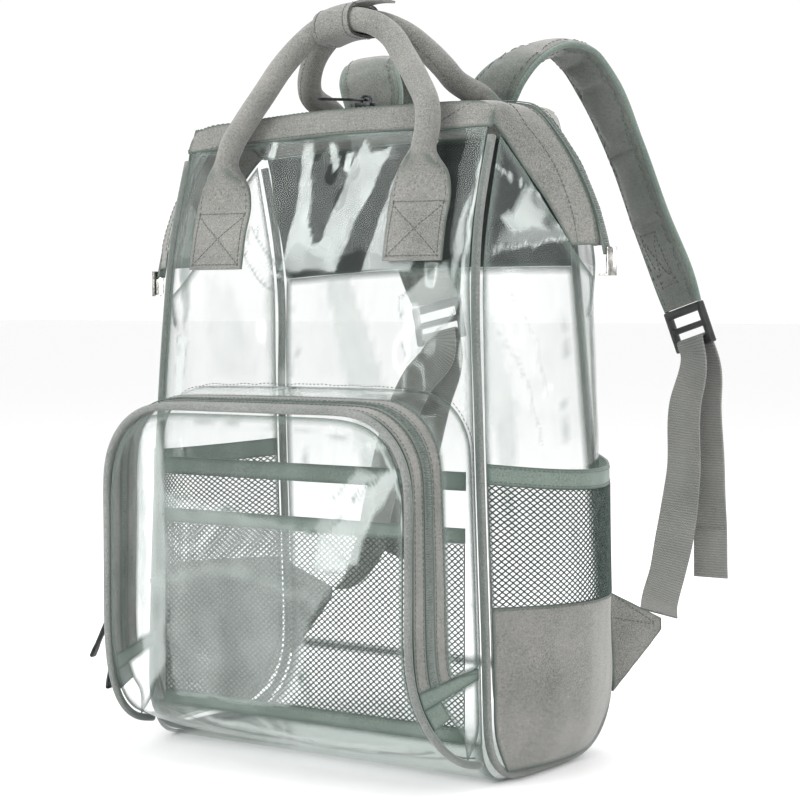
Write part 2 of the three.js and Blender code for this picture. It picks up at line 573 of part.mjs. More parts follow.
function addSides() {
  const columns = 10;
  const rows = 10;
  const foot = PIPING_RADIUS + SEAM + 2 * CLEARANCE;
  const topOf = (t) => [1, 2, 3, 4].reduce(
    (z) => hemHeight(Math.abs(1 - 2 * sideShare(t, z))) - HEM_GAP, HEM_Z);
  const grid = steps(rows).map((v) => steps(columns).map((t) => {
    const z = lerp(foot, topOf(t), v);
    return sidePoint(sideShare(t, z), z);
  }));
  sides.forEach(({ word, sign }) => {
    add(`side_panel_${word}`, sheet(grid.map((row) => row.map(mirror(sign))), CLEAR_SHEET), 'clear');
  });

  // Piping: down the front edge, round the lower corners and up the back edge
  const top = HEM_Z - PIPING_RADIUS - HEM_GAP;
  const bottom = PIPING_RADIUS;
  const down = steps(7).map((t) => lerp(top, FRONT_CORNER_RADIUS, t));
  const turn = steps(5).map((t) => (t * Math.PI) / 2);
  const low = (radius) => radius - PIPING_RADIUS;
  const frontCentre = frontY(FRONT_CORNER_RADIUS) + FRONT_CORNER_RADIUS;
  const backCentre = backY(BACK_CORNER_RADIUS) - BACK_CORNER_RADIUS;
  const line = [
    ...down.map((z) => ({ y: edgeFront(z), z })),
    ...turn.slice(1).map((a) => ({
      y: frontCentre - low(FRONT_CORNER_RADIUS) * Math.cos(a),
      z: bottom + low(FRONT_CORNER_RADIUS) * (1 - Math.sin(a)),
    })),
    ...[0.15, 0.5, 0.85].map((t) => ({ y: lerp(frontCentre, backCentre, t), z: bottom })),
    ...turn.map((a) => ({
      y: backCentre + low(BACK_CORNER_RADIUS) * Math.sin(a),
      z: bottom + low(BACK_CORNER_RADIUS) * (1 - Math.cos(a)),
    })),
    ...steps(7).slice(1).map((t) => lerp(BACK_CORNER_RADIUS, top, t)).map((z) => ({ y: edgeBack(z), z })),
  ].map(({ y, z }) => V(edgeX(z), y, z));
  sides.forEach(({ word, sign }) => {
    const curve = new THREE.CatmullRomCurve3(line.map(mirror(sign)), false, 'centripetal');
    add(`side_piping_${word}`, tube(curve, PIPING_RADIUS, 36, 8), 'fabric');
  });
}

// Fabric collar: one strip for the front and one for the back, each from clip to clip
function collarGrid(faceY, edgeY, toward) {
  const level = (PIPING_RADIUS + SHEET_INSET) / 2;
  const zipY = MOUTH_Y + toward * (COIL_WIDTH / 2 + CLEARANCE + 0.4 * FABRIC);
  const straight = [0.25, 0.5, 0.75, 1].map((share) => {
    const x = share * edgeX(BAG_HEIGHT);
    const zipX = share * (MOUTH_STRAIGHT / 2);
    const fold = V(x, faceY(BAG_HEIGHT) - toward * level, BAG_HEIGHT);
    const zip = V(zipX, zipY, mouthZ(zipX));
    return [zip, zip.clone().lerp(fold, 0.5), fold, V(x, faceY(HEM_Z) - toward * SHEET_INSET, HEM_Z)];
  });
  const middle = [straight[0].map((p) => V(0, p.y, p.z))];
  middle[0][0].z = mouthZ(0);
  const leg = COLLAR_LEG.map((row) => {
    const z = legZ(row.fall);
    const between = (share, height) => V(
      lerp(ridgeX(height), edgeX(height), share), lerp(MOUTH_Y, edgeY(height), share), height);
    const zip = between(0, z);
    zip.y = zipY;
    const fold = between(row.fold, z);
    return [zip, zip.clone().lerp(fold, 0.5), fold, between(row.hem, z - row.hang * HEM_HEIGHT)];
  });
  const half = [...straight, ...leg];
  return [...[...half].reverse().map((row) => row.map(mirror(-1))), ...middle, ...half];
}

function addMouth() {
  add('collar_front', sheet(collarGrid(frontY, edgeFront, -1), FABRIC), 'fabric');
  add('collar_back', sheet(collarGrid(backY, edgeBack, 1), FABRIC), 'fabric');

  const half = [
    ...steps(5).map((t) => (t * MOUTH_STRAIGHT) / 2).map((x) => ({ x, z: mouthZ(x) })),
    ...[0.35, 0.7].map((t) => MOUTH_TOP - t * (MOUTH_TOP - mouthCorner.z)).map((z) => ({ x: mouthX(z), z })),
    ...steps(8).map((t) => lerp(mouthCorner.z, mouthEndZ, t)).map((z) => ({ x: mouthX(z), z })),
  ];
  const gripped = { x: mouthX(mouthEndZ) + END_CLIP.grip * Math.cos(legEndTurn), z: mouthEndZ - END_CLIP.grip };
  half.push(gripped);
  const line = [...half.slice(1).reverse().map(({ x, z }) => ({ x: -x, z })), ...half];
  const grid = line.map(({ x, z }) => [-1, 1].map((s) => V(x, MOUTH_Y + (s * COIL_WIDTH) / 2, z)));
  add('mouth_coil', sheet(grid, COIL_THICKNESS), 'coil');

  // End clips: a folded metal cap that grips the last of the zip
  const { width, depth, height, wall } = END_CLIP;
  const cap = new THREE.BoxGeometry(width, depth, height);
  const hollow = new THREE.BoxGeometry(width - 2 * wall, depth + 2 * wall, height).translate(-wall, 0, wall);
  sides.forEach(({ word, sign }) => {
    const clip = geometryOf(solidOf(cap).subtract(solidOf(hollow)));
    if (sign < 0) clip.rotateZ(Math.PI);
    const mesh = add(`end_clip_${word}`, clip, 'chrome');
    const x = sign * ((mouthX(mouthEndZ) + gripped.x) / 2 + wall);
    const z = mouthEndZ - FABRIC / 2 - CLEARANCE - height / 2;
    mesh.position.set(x, MOUTH_Y, z - sagAt(x, mouthEndZ));
  });
}

// Loops of the front pocket: the piping round its face, and its footprint on the front panel
const POCKET_FRONT = -(BASE_DEPTH / 2 + POCKET_DEPTH);
const PIPING_ROUND = POCKET_CORNER_RADIUS;
function faceLoop(part, t) {
  const half = POCKET_WIDTH / 2;
  const spread = edgeX(POCKET_SWEEP_END) - half - SEAM;
  if (part === 'sweep') {
    const turn = (1 - t) * (Math.PI / 2);
    const depth = POCKET_DEPTH + PIPING_RADIUS - SEAM - CLEARANCE;
    return V(half + spread * Math.sin(turn) ** 2, POCKET_FRONT + depth * (1 - Math.cos(turn)),
      POCKET_SWEEP_START - (POCKET_SWEEP_START - POCKET_SWEEP_END) * Math.sin(turn));
  }
  const shoulder = POCKET_TOP - PIPING_ROUND;
  if (part === 'side') return V(half, POCKET_FRONT, lerp(POCKET_SWEEP_START, shoulder, t));
  if (part === 'corner') {
    const turn = (t * Math.PI) / 2;
    return V(half - PIPING_ROUND * (1 - Math.cos(turn)), POCKET_FRONT, shoulder + PIPING_ROUND * Math.sin(turn));
  }
  return V((half - PIPING_ROUND) * (1 - t), POCKET_FRONT, POCKET_TOP);
}
function printLoop(part, t) {
  const lift = CLEARANCE + CLEAR_SHEET / 2;
  const on = (x, z) => V(x, frontY(z) + SHEET_INSET - CLEAR_SHEET / 2 - lift, z);
  const half = (z) => edgeX(z) - SEAM - CLEARANCE - CLEAR_SHEET;
  const foot = POCKET_SWEEP_END + 2 * PIPING_RADIUS;
  const shoulder = FOOTPRINT_TOP - FOOTPRINT_RADIUS;
  if (part === 'sweep') {
    const z = lerp(foot, POCKET_SWEEP_START, t);
    return on(half(z), z);
  }
  if (part === 'side') {
    const z = lerp(POCKET_SWEEP_START, shoulder, t);
    return on(half(z), z);
  }
  if (part === 'corner') {
    const turn = (t * Math.PI) / 2;
    return on(half(shoulder) - FOOTPRINT_RADIUS * (1 - Math.cos(turn)), shoulder + FOOTPRINT_RADIUS * Math.sin(turn));
  }
  return on((half(shoulder) - FOOTPRINT_RADIUS) * (1 - t), FOOTPRINT_TOP);
}
const LOOP_PARTS = [
  { part: 'sweep', count: 6 }, { part: 'side', count: 3 }, { part: 'corner', count: 6 }, { part: 'top', count: 2 },
];
// Stations of both loops from the right foot up to the middle of the top
const LOOP = LOOP_PARTS.flatMap(({ part, count }, k) => steps(count).slice(k ? 1 : 0).map(
  (t) => ({ face: faceLoop(part, t), print: printLoop(part, t) })));
const wholeLoop = (half) => [...half, ...[...half].slice(0, -1).reverse().map((row) => row.map(mirror(-1)))];

// A strip of the gusset between two distances from the face's piping, over the stations it covers
function gussetStrip(stations, from, to, columns) {
  return stations.map(({ face, print }) => {
    const width = face.distanceTo(print);
    return steps(columns).map((t) => face.clone().lerp(print, lerp(from(width), to(width), t) / width));
  });
}
// Station at a height on the way up the right side
function stationAt(z) {
  const i = LOOP.findIndex(({ face }) => face.z >= z);
  const [a, b] = [LOOP[i - 1], LOOP[i]];
  const t = (z - a.face.z) / (b.face.z - a.face.z);
  return { face: a.face.clone().lerp(b.face, t), print: a.print.clone().lerp(b.print, t) };
}
const above = (z) => [stationAt(z), ...LOOP.filter(({ face }) => face.z > z + 1)];

function addPocket() {
  const edge = PIPING_RADIUS + 1.5 * CLEARANCE;
  const coilFrom = edge + TAPE_WIDTH + CLEARANCE;
  const coilTo = coilFrom + POCKET_COIL_WIDTH;
  const innerFrom = coilTo + CLEARANCE;
  const innerTo = innerFrom + TAPE_WIDTH;
  const fixed = (value) => () => value;

  const pipingLine = wholeLoop(LOOP.map(({ face }) => [face])).map(([p]) => p);
  const curve = new THREE.CatmullRomCurve3(pipingLine, false, 'centripetal');
  add('pocket_piping', tube(curve, PIPING_RADIUS, 50, 6), 'fabric');

  const tapeStart = above(ZIP_END_HEIGHT + CLEARANCE);
  const strip = (from, to, columns, stations) => wholeLoop(gussetStrip(stations, from, to, columns));
  add('pocket_tape_outer', sheet(strip(fixed(edge), fixed(edge + TAPE_WIDTH), 1, tapeStart), FABRIC), 'fabric');
  add('pocket_coil', sheet(strip(fixed(coilFrom), fixed(coilTo), 1, tapeStart), COIL_THICKNESS), 'coil');
  add('pocket_tape_inner', sheet(strip(fixed(innerFrom), fixed(innerTo), 1, tapeStart), FABRIC), 'fabric');
  add('pocket_gusset', sheet(strip(fixed(innerTo + CLEARANCE), (w) => w, 2, tapeStart), CLEAR_SHEET), 'clear');

  // Below the zip's ends: a folded tab across, a fabric leg along the piping and the clear foot of the gusset
  const tabFoot = ZIP_END_HEIGHT - ZIP_TAB_HEIGHT;
  const tab = [stationAt(tabFoot), stationAt(ZIP_END_HEIGHT)];
  const leg = [stationAt(LEG_BOTTOM), stationAt(tabFoot - CLEARANCE)];
  const foot = [...LOOP.filter(({ face }) => face.z < LEG_BOTTOM - 1).slice(1), stationAt(LEG_BOTTOM - CLEARANCE)];
  const footFull = [...foot.slice(0, -1), stationAt(LEG_BOTTOM), stationAt(tabFoot - CLEARANCE)];
  const tabGrid = gussetStrip(tab, fixed(edge), (w) => w, 3);
  const legGrid = gussetStrip(leg, fixed(edge), fixed(LEG_WIDTH), 1);
  const footGrid = gussetStrip(footFull,
    (w) => (w > LEG_WIDTH + 2 * SEAM ? LEG_WIDTH + CLEARANCE : edge), (w) => w, 1);
  sides.forEach(({ word, sign }) => {
    const turned = (grid) => grid.map((row) => row.map(mirror(sign)));
    add(`pocket_tab_${word}`, sheet(turned(tabGrid), FABRIC), 'fabric');
    add(`pocket_leg_${word}`, sheet(turned(legGrid), FABRIC), 'fabric');
    add(`pocket_foot_${word}`, sheet(turned(footGrid), CLEAR_SHEET), 'clear');
  });
  addPocketFace(edge + CLEARANCE);
}

// Clear face of the pocket: flat above, rolled back under itself to the body below
function addPocketFace(edge) {
  const half = POCKET_WIDTH / 2 - edge;
  const round = POCKET_CORNER_RADIUS - edge;
  const across = [-1, -0.93, -0.8, -0.62, -0.35, 0, 0.35, 0.62, 0.8, 0.93, 1];
  const flatRows = 4;
  const sweepRows = 7;
  const column = (u) => {
    const x = u * half;
    const past = Math.max(0, Math.abs(x) - (half - round));
    const top = POCKET_TOP - edge - (round - Math.sqrt(Math.max(0, round ** 2 - past ** 2)));
    const side = Math.abs(u) ** 4;
    const start = lerp(POCKET_FLOOR_START, POCKET_SWEEP_START, side);
    const end = lerp(POCKET_FLOOR_END, POCKET_SWEEP_END + edge, side);
    const spread = Math.sign(u) * Math.abs(u) ** 2 * (edgeX(POCKET_SWEEP_END) - POCKET_WIDTH / 2 - SEAM);
    const back = frontY(end) - CLEARANCE - CLEAR_SHEET;
    const flat = steps(flatRows).slice(0, -1).map((t) => V(x, POCKET_FRONT, lerp(top, start, t)));
    const roll = steps(sweepRows).map((t) => {
      const turn = (t * Math.PI) / 2;
      return V(x + spread * Math.sin(turn) ** 2, lerp(POCKET_FRONT, back, 1 - Math.cos(turn)),
        lerp(start, end, Math.sin(turn)));
    });
    return [...flat, ...roll];
  };
  const columns = across.map(column);
  add('pocket_face', sheet(columns[0].map((_, i) => columns.map((line) => line[i])), CLEAR_SHEET), 'clear');
}

function addOrganiser() {
  const lift = CLEARANCE + FABRIC / 2 + CLEAR_SHEET / 2 - SHEET_INSET;
  const half = ORGANISER_WIDTH / 2;
  const point = (u, z) => V(lerp(-half, half, u), frontY(z) - lift, z);
  const band = (low, high) => sheet([low, high].map((z) => steps(2).map((u) => point(u, z))), FABRIC);
  const netLow = ORGANISER_BOTTOM + ORGANISER_BINDING + CLEARANCE;
  const netHigh = ORGANISER_TOP - ORGANISER_BINDING - CLEARANCE;
  add('organiser_binding_bottom', band(ORGANISER_BOTTOM, netLow - CLEARANCE), 'binding');
  add('organiser_net', net((u, v) => point(u, lerp(netLow, netHigh, v)), ORGANISER_NET, FABRIC), 'net');
  add('organiser_binding_top', band(netHigh + CLEARANCE, ORGANISER_TOP), 'binding');
  add('organiser_slip_band', band(SLIP_BAND_BOTTOM, SLIP_BAND_BOTTOM + SLIP_BAND_HEIGHT), 'binding');
}

// Side pockets: fabric below, net above it and an elastic binding on top, swelling off the clear side
function addSidePockets() {
  const lift = CLEAR_SHEET / 2 + CLEARANCE + FABRIC / 2;
  const sag = (u) => SIDE_POCKET_SAG * Math.sin(Math.PI * u);
  const point = (t, z) => {
    const u = sideShare(t, z);
    const step = 0.01;
    const [a, b] = [sidePoint(u - step, z), sidePoint(u + step, z)];
    const normal = V(b.y - a.y, a.x - b.x, 0).normalize();
    const low = clamp(z / SIDE_FABRIC_TOP, 0, 1);
    const swell = CLEARANCE + SIDE_POCKET_SWELL * Math.sin(Math.PI * t) * Math.sqrt(low);
    return sidePoint(u, z).addScaledVector(normal, lift + swell);
  };
  const foot = PIPING_RADIUS + SEAM + 5 * CLEARANCE;
  const netLow = SIDE_FABRIC_TOP + CLEARANCE;
  const netHigh = (u) => SIDE_POCKET_TOP - SIDE_BINDING - CLEARANCE - sag(u);
  const fabric = steps(5).map((v) => steps(8).map((t) => point(t, lerp(foot, SIDE_FABRIC_TOP, v))));
  const binding = [0, 1].map((v) => steps(8).map(
    (t) => point(t, lerp(SIDE_POCKET_TOP - SIDE_BINDING, SIDE_POCKET_TOP, v) - sag(t))));
  sides.forEach(({ word, sign }) => {
    const turned = (grid) => grid.map((row) => row.map(mirror(sign)));
    add(`side_fabric_${word}`, sheet(turned(fabric), FABRIC), 'fabric');
    add(`side_binding_${word}`, sheet(turned(binding), FABRIC), 'binding');
    const surface = (u, v) => mirror(sign)(point(u, lerp(netLow, netHigh(u), v)));
    add(`side_net_${word}`, net(surface, SIDE_NET, FABRIC), 'net');
  });
}

// Grab handles: a flat tab on the body, gathered into a round grip that arches to the middle
const HANDLE_GAP = 2 * HANDLE_RADIUS + CLEARANCE;
function handleRoute(rows, faceY, toward, topY, wall) {
  const place = (row, word, sign) => {
    const z = lerp(HANDLE_BOTTOM, HANDLE_TOP, row.rise);
    const flush = toward * (wall / 2 + 2 * CLEARANCE + TAB_THICKNESS / 2 - SHEET_INSET);
    const out = toward * row.lift * HANDLE_RADIUS * 0.92;
    const foot = faceY(Math.min(z, BAG_HEIGHT)) + flush + out;
    const x = sign * row[word] * (HANDLE_SPACING / 2);
    return { centre: V(x, lerp(foot, topY, row.inward), z), round: row.round };
  };
  const left = [...rows, ...GRIP_TOP].map((row) => place(row, 'left', -1));
  const right = [...rows, ...GRIP_TOP].map((row) => place(row, 'right', 1));
  return [...left, ...right.reverse()];
}
function handle(route) {
  const sideCount = 10;
  const rings = route.map(({ centre, round }, i) => {
    const before = route[Math.max(i - 1, 0)].centre;
    const after = route[Math.min(i + 1, route.length - 1)].centre;
    const along = V().subVectors(after, before).normalize();
    const through = V(0, 1, 0).addScaledVector(along, -along.y).normalize();
    const across = V().crossVectors(along, through);
    return oblong(centre, across, through, lerp(TAB_WIDTH, 2 * HANDLE_RADIUS, round),
      lerp(TAB_THICKNESS, 2 * HANDLE_RADIUS, round), sideCount, 1 - round);
  });
  return loft(rings);
}

const FRONT_GRIP_Y = -34;
function addHandles() {
  const front = handleRoute(FRONT_HANDLE, frontY, -1, FRONT_GRIP_Y, CLEAR_SHEET);
  const back = handleRoute(BACK_HANDLE, backY, 1, FRONT_GRIP_Y + HANDLE_GAP, FABRIC);
  add('handle_front', handle(front), 'fabric');
  add('handle_back', handle(back), 'fabric');

  // Wrap: a sleeve that follows both grips, with a loose flap at its right end
  const centreY = FRONT_GRIP_Y + HANDLE_GAP / 2;
  const room = HANDLE_RADIUS + 3 * CLEARANCE;
  const [outerGrip, innerGrip] = GRIP_TOP.map(({ rise, right }) => ({
    x: (right * HANDLE_SPACING) / 2, z: lerp(HANDLE_BOTTOM, HANDLE_TOP, rise) }));
  const fallRate = (innerGrip.z - outerGrip.z) / (outerGrip.x - innerGrip.x);
  const gripZ = (x) => innerGrip.z - Math.max(0, Math.abs(x) - innerGrip.x) * fallRate;
  const ring = (x, radius) => steps(12).slice(0, -1).map((t) => {
    const angle = 2 * Math.PI * (t + 1 / 24);
    const y = centreY + Math.sign(Math.cos(angle)) * (HANDLE_GAP / 2) + radius * Math.cos(angle);
    return V(x, y, gripZ(x) + 1.06 * radius * Math.sin(angle));
  });
  const [wrapLeft, wrapRight] = [-0.5, 0.5].map((s) => WRAP_CENTRE_X + s * WRAP_LENGTH);
  const stations = [wrapLeft, -innerGrip.x, innerGrip.x, wrapRight];
  const wrap = sleeve(stations.map((x) => ring(x, room + WRAP_THICKNESS)), stations.map((x) => ring(x, room)));
  const flapRows = steps(5).map((t) => {
    const x = wrapRight - FLAP.overlap + t * (FLAP.length + FLAP.overlap);
    const z = gripZ(wrapRight - FLAP.overlap) + room + WRAP_THICKNESS / 2 + FLAP.rise * Math.sin(0.8 * Math.PI * t);
    return [-0.5, 0.5].map((s) => V(x, centreY + s * FLAP.width, z));
  });
  add('handle_wrap', geometryOf(solidOf(wrap).add(solidOf(sheet(flapRows, FLAP.thickness)))), 'fabric');
}

// Shoulder strap: a padded band from the yoke over to the tongue that holds the ladder lock
const yaw = (degrees, sign) => {
  const angle = THREE.MathUtils.degToRad(degrees);
  return V(Math.cos(angle), sign * Math.sin(angle), 0);
};
function strapRoute(rows, sign) {
  const face = FABRIC / 2 + 5 * CLEARANCE + TAB_THICKNESS + PAD_ROOT_THICKNESS / 2 - SHEET_INSET;
  const root = steps(3).map((t) => {
    const z = lerp(STRAP_ROOT.foot, STRAP_ROOT.top, t);
    return { centre: V(sign * STRAP_ROOT.x, backY(z) + face, z), turn: 0, width: PAD_ROOT_WIDTH, thick: PAD_ROOT_THICKNESS };
  });
  const from = root[root.length - 1].centre;
  const free = rows.map((row) => ({
    centre: from.clone().add(V(sign * row.out, row.back, row.up).multiplyScalar(STRAP_REACH)),
    turn: row.turn,
    width: PAD_WIDTH * row.width,
    thick: lerp(PAD_ROOT_THICKNESS, PAD_THICKNESS, row.fill),
  }));
  return [...root, ...free];
}
function strapFrame(route, i, sign) {
  const along = V().subVectors(route[Math.min(i + 1, route.length - 1)].centre, route[Math.max(i - 1, 0)].centre);
  along.normalize();
  const across = yaw(route[i].turn, sign);
  across.addScaledVector(along, -along.dot(across)).normalize();
  return { along, across, through: V().crossVectors(along, across) };
}

function addStrap({ word, sign }, rows, webbingRows) {
  const route = strapRoute(rows, sign);
  const rings = route.map((station, i) => {
    const { across, through } = strapFrame(route, i, sign);
    return oblong(station.centre, across, through, station.width, station.thick, 10, 0.75);
  });
  add(`strap_pad_${word}`, loft(rings), 'fabric');

  // Ladder lock below the tongue, turned with it
  const end = route[route.length - 1];
  const { along, across } = strapFrame(route, route.length - 1, sign);
  const normal = V().crossVectors(across, along);
  const centre = end.centre.clone().addScaledVector(along, LOCK.height / 2 + 2 * CLEARANCE);
  const frame = new THREE.Matrix4().makeBasis(across, along, normal).setPosition(centre);
  const plate = solidOf(new THREE.BoxGeometry(LOCK.width, LOCK.height, LOCK.thickness));
  const slotWidth = WEBBING_WIDTH + 3;
  const slotAt = LOCK.bar / 2 + LOCK.slot / 2;
  const cut = (y) => solidOf(new THREE.BoxGeometry(slotWidth, LOCK.slot, 2 * LOCK.thickness).translate(0, y, 0));
  const lock = geometryOf(plate.subtract(cut(slotAt)).subtract(cut(-slotAt)));
  lock.applyMatrix4(frame);
  add(`ladder_lock_${word}`, lock, 'plastic');

  // Webbing: up from the anchor tab, over the lock's lower bar and down again as the free tail
  const local = (y, z) => V(0, y, z).applyMatrix4(frame);
  const barEnd = LOCK.height / 2;
  const barInner = slotAt + LOCK.slot / 2;
  const clear = LOCK.thickness / 2 + CLEARANCE + WEBBING_THICKNESS / 2;
  const bend = [[barInner + 1, clear + 0.1], [barInner - 1, 0.87 * clear], [barInner - 1.4, 0.34 * clear]];
  const tab = anchorTip(word, sign);
  const near = -Math.sign(normal.y);
  const down = [];
  const parted = clear + 5 * CLEARANCE;
  const start = local(barEnd + WEBBING_SWAY / 2, near * parted);
  const goal = tab.hold;
  webbingRows.forEach((row) => down.push({
    p: V(lerp(start.x, goal.x, row.across) + sign * row.out * WEBBING_SWAY,
      lerp(start.y, goal.y, row.drop) + row.sway * WEBBING_SWAY, lerp(start.z, goal.z, row.drop)),
    turn: row.turn,
  }));
  const path = [
    { p: goal, turn: tab.turn },
    ...down.reverse(),
    { p: start, across },
    ...bend.map(([y, z]) => ({ p: local(y, near * z), across })),
    ...[...bend].reverse().map(([y, z]) => ({ p: local(y, -near * z), across })),
    { p: local(barEnd + WEBBING_SWAY / 2, -near * parted), across },
  ];
  const tail = TAILS[word];
  const tailTop = path[path.length - 1].p;
  [0.25, 0.5, 0.75, 1].forEach((t) => path.push({
    p: V(tailTop.x + sign * tail.lean * t, tailTop.y + tail.set * Math.sin(Math.PI * 0.5 * t), tailTop.z - tail.length * t),
    turn: end.turn + tail.twist * t,
  }));
  add(`webbing_${word}`, ribbon(path, sign), 'binding');
}

// A flat band through stations with their own yaw
function ribbon(path, sign) {
  const grid = path.map(({ p, turn, across: held }, i) => {
    const along = V().subVectors(path[Math.min(i + 1, path.length - 1)].p, path[Math.max(i - 1, 0)].p).normalize();
    const across = held ? held.clone() : yaw(turn, sign);
    across.addScaledVector(along, -along.dot(across)).normalize();
    return [-0.5, 0.5].map((s) => p.clone().addScaledVector(across, s * WEBBING_WIDTH));
  });
  return sheet(grid, WEBBING_THICKNESS);
}

// Anchor tab: a folded triangle sewn to the back edge, whose tip holds the webbing
function anchorTip(word, sign) {
  const z = ANCHOR.apexHeight;
  const tip = V(edgeX(z) + ANCHOR_SPREAD[word], backY(z) + ANCHOR.reach, z);
  const hold = tip.clone().add(V(-4, 5, 6));
  return { tip: mirror(sign)(tip), hold: mirror(sign)(hold), turn: 55 };
}
function addAnchors() {
  sides.forEach(({ word, sign }) => {
    const { tip } = anchorTip(word, sign);
    const grid = steps(4).map((v) => {
      const z = lerp(ANCHOR.bottom, ANCHOR.top, v);
      const base = V(sign * edgeX(z), backY(z) + CLEARANCE + ANCHOR.thickness / 4, z);
      const end = V(tip.x, tip.y, tip.z + (v - 0.5) * ANCHOR.tip);
      return steps(2).map((t) => base.clone().lerp(end, t));
    });
    add(`anchor_tab_${word}`, sheet(grid, ANCHOR.thickness), 'fabric');
  });
}

// Zip slider in its own frame: the zip runs along X, the bridge stands up along Z
function sliderGeometry() {
  const plate = solidOf(new THREE.BoxGeometry(SLIDER.length, SLIDER.width, SLIDER.thickness));
  const arch = new THREE.Shape();
  const foot = SLIDER.thickness / 2 - 0.4;
  const rise = SLIDER.bridgeRise;
  const half = SLIDER.length * 0.36;
  arch.moveTo(-half, foot);
  arch.lineTo(half, foot);
  arch.lineTo(half, foot + rise * 0.6);
  arch.lineTo(half * 0.55, foot + rise);
  arch.lineTo(-half * 0.55, foot + rise);
  arch.lineTo(-half, foot + rise * 0.6);
  arch.closePath();
  const bar = SLIDER.bridgeBar;
  const eye = new THREE.Path();
  eye.moveTo(-half + bar, foot + 0.4);
  eye.lineTo(-half + bar, foot + rise * 0.6 - 0.3);
  eye.lineTo(-half * 0.5, foot + rise - bar);
  eye.lineTo(half * 0.5, foot + rise - bar);
  eye.lineTo(half - bar, foot + rise * 0.6 - 0.3);
  eye.lineTo(half - bar, foot + 0.4);
  eye.closePath();
  arch.holes.push(eye);
  const bridge = new THREE.ExtrudeGeometry(arch, { depth: SLIDER.bridgeWidth, bevelEnabled: false });
  bridge.translate(0, 0, -SLIDER.bridgeWidth / 2).rotateX(Math.PI / 2);
  return geometryOf(plate.add(solidOf(bridge)));
}
const PIN_HEIGHT = SLIDER.thickness / 2 + (SLIDER.bridgeRise - SLIDER.bridgeBar) / 2;

// Pull in its own frame: its cross bar lies on the origin along Y, the pull reaches along -X
function pullGeometry() {
  const { length, width, thickness, neck, pin } = PULL;
  const outline = new THREE.Shape();
  const half = width / 2;
  outline.moveTo(pin / 2, -half);
  outline.lineTo(pin / 2, half);
  outline.lineTo(-9, half);
  outline.lineTo(-13, neck / 2);
  outline.lineTo(-length + 10, neck / 2);
  outline.lineTo(-length + 6, half);
  outline.lineTo(-length + 1, half);
  outline.lineTo(-length, half - 1);
  outline.lineTo(-length, -half + 1);
  outline.lineTo(-length + 1, -half);
  outline.lineTo(-length + 6, -half);
  outline.lineTo(-length + 10, -neck / 2);
  outline.lineTo(-13, -neck / 2);
  outline.lineTo(-9, -half);
  outline.closePath();
  const eye = new THREE.Path();
  const gap = SLIDER.bridgeWidth / 2 + CLEARANCE;
  eye.moveTo(-pin / 2, -gap);
  eye.lineTo(-8, -gap);
  eye.lineTo(-8, gap);
  eye.lineTo(-pin / 2, gap);
  eye.closePath();
  outline.holes.push(eye);
  return new THREE.ExtrudeGeometry(outline, { depth: thickness, bevelEnabled: false }).translate(0, 0, -thickness / 2);
}

function addSlider(name, place, along, out, tilt) {
  const across = V().crossVectors(out, along);
  const frame = new THREE.Group();
  frame.matrixAutoUpdate = false;
  frame.matrix.makeBasis(along, across, out).setPosition(place);
  frame.matrix.decompose(frame.position, frame.quaternion, frame.scale);
  frame.matrixAutoUpdate = true;
  bag.add(frame);
  add(`${name}_slider`, sliderGeometry(), 'gunmetal', frame);
  const pull = add(`${name}_pull`, pullGeometry(), 'gunmetal', frame);
  pull.position.set(0, 0, PIN_HEIGHT);
  pull.rotation.y = tilt;
}

function addSliders() {
  const lift = COIL_THICKNESS / 2 + CLEARANCE + SLIDER.thickness / 2;
  const mouthPlace = V(MOUTH_SLIDER_X, MOUTH_Y, mouthZ(MOUTH_SLIDER_X) + lift);
  addSlider('mouth', mouthPlace, V(1, 0, 0), V(0, 0, 1), MOUTH_PULL_TILT);
  const coilMiddle = PIPING_RADIUS + 2 * CLEARANCE + TAPE_WIDTH + POCKET_COIL_WIDTH / 2;
  ['upper', 'lower'].forEach((word, i) => {
    const { face, print } = stationAt(POCKET_SLIDER_HEIGHTS[i]);
    const width = V().subVectors(print, face).normalize();
    const along = V(0, 0, 1);
    const out = V().crossVectors(width, along).normalize();
    const place = face.clone().addScaledVector(width, coilMiddle).addScaledVector(out, lift);
    const flip = mirror(-1);
    addSlider(`pocket_${word}`, flip(place), along, flip(out), POCKET_PULL_TILTS[i]);
  });
}

function settle(geometry) {
  const position = geometry.attributes.position;
  for (let i = 0; i < position.count; i += 1) {
    position.setZ(i, position.getZ(i) - sagAt(position.getX(i), position.getZ(i)));
  }
}

addPanels();
addSides();
addMouth();
addPocket();
addOrganiser();
addSidePockets();
addHandles();
addStrap(sides[0], RIGHT_STRAP, RIGHT_WEBBING);
addStrap(sides[1], LEFT_STRAP, LEFT_WEBBING);
addAnchors();
bag.children.filter(({ name }) => !name.startsWith('end_clip')).forEach(({ geometry }) => settle(geometry));
addSliders();

export default bag;
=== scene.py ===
"""Clear stadium backpack: film, cloth, nets, straps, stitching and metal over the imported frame.

Metres, Z up.
"""

import logging
import math
from dataclasses import dataclass, field
from enum import Enum
from typing import Callable, Mapping, Sequence

import bpy
import numpy as np
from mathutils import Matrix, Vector
from mathutils.bvhtree import BVHTree
from mathutils.kdtree import KDTree


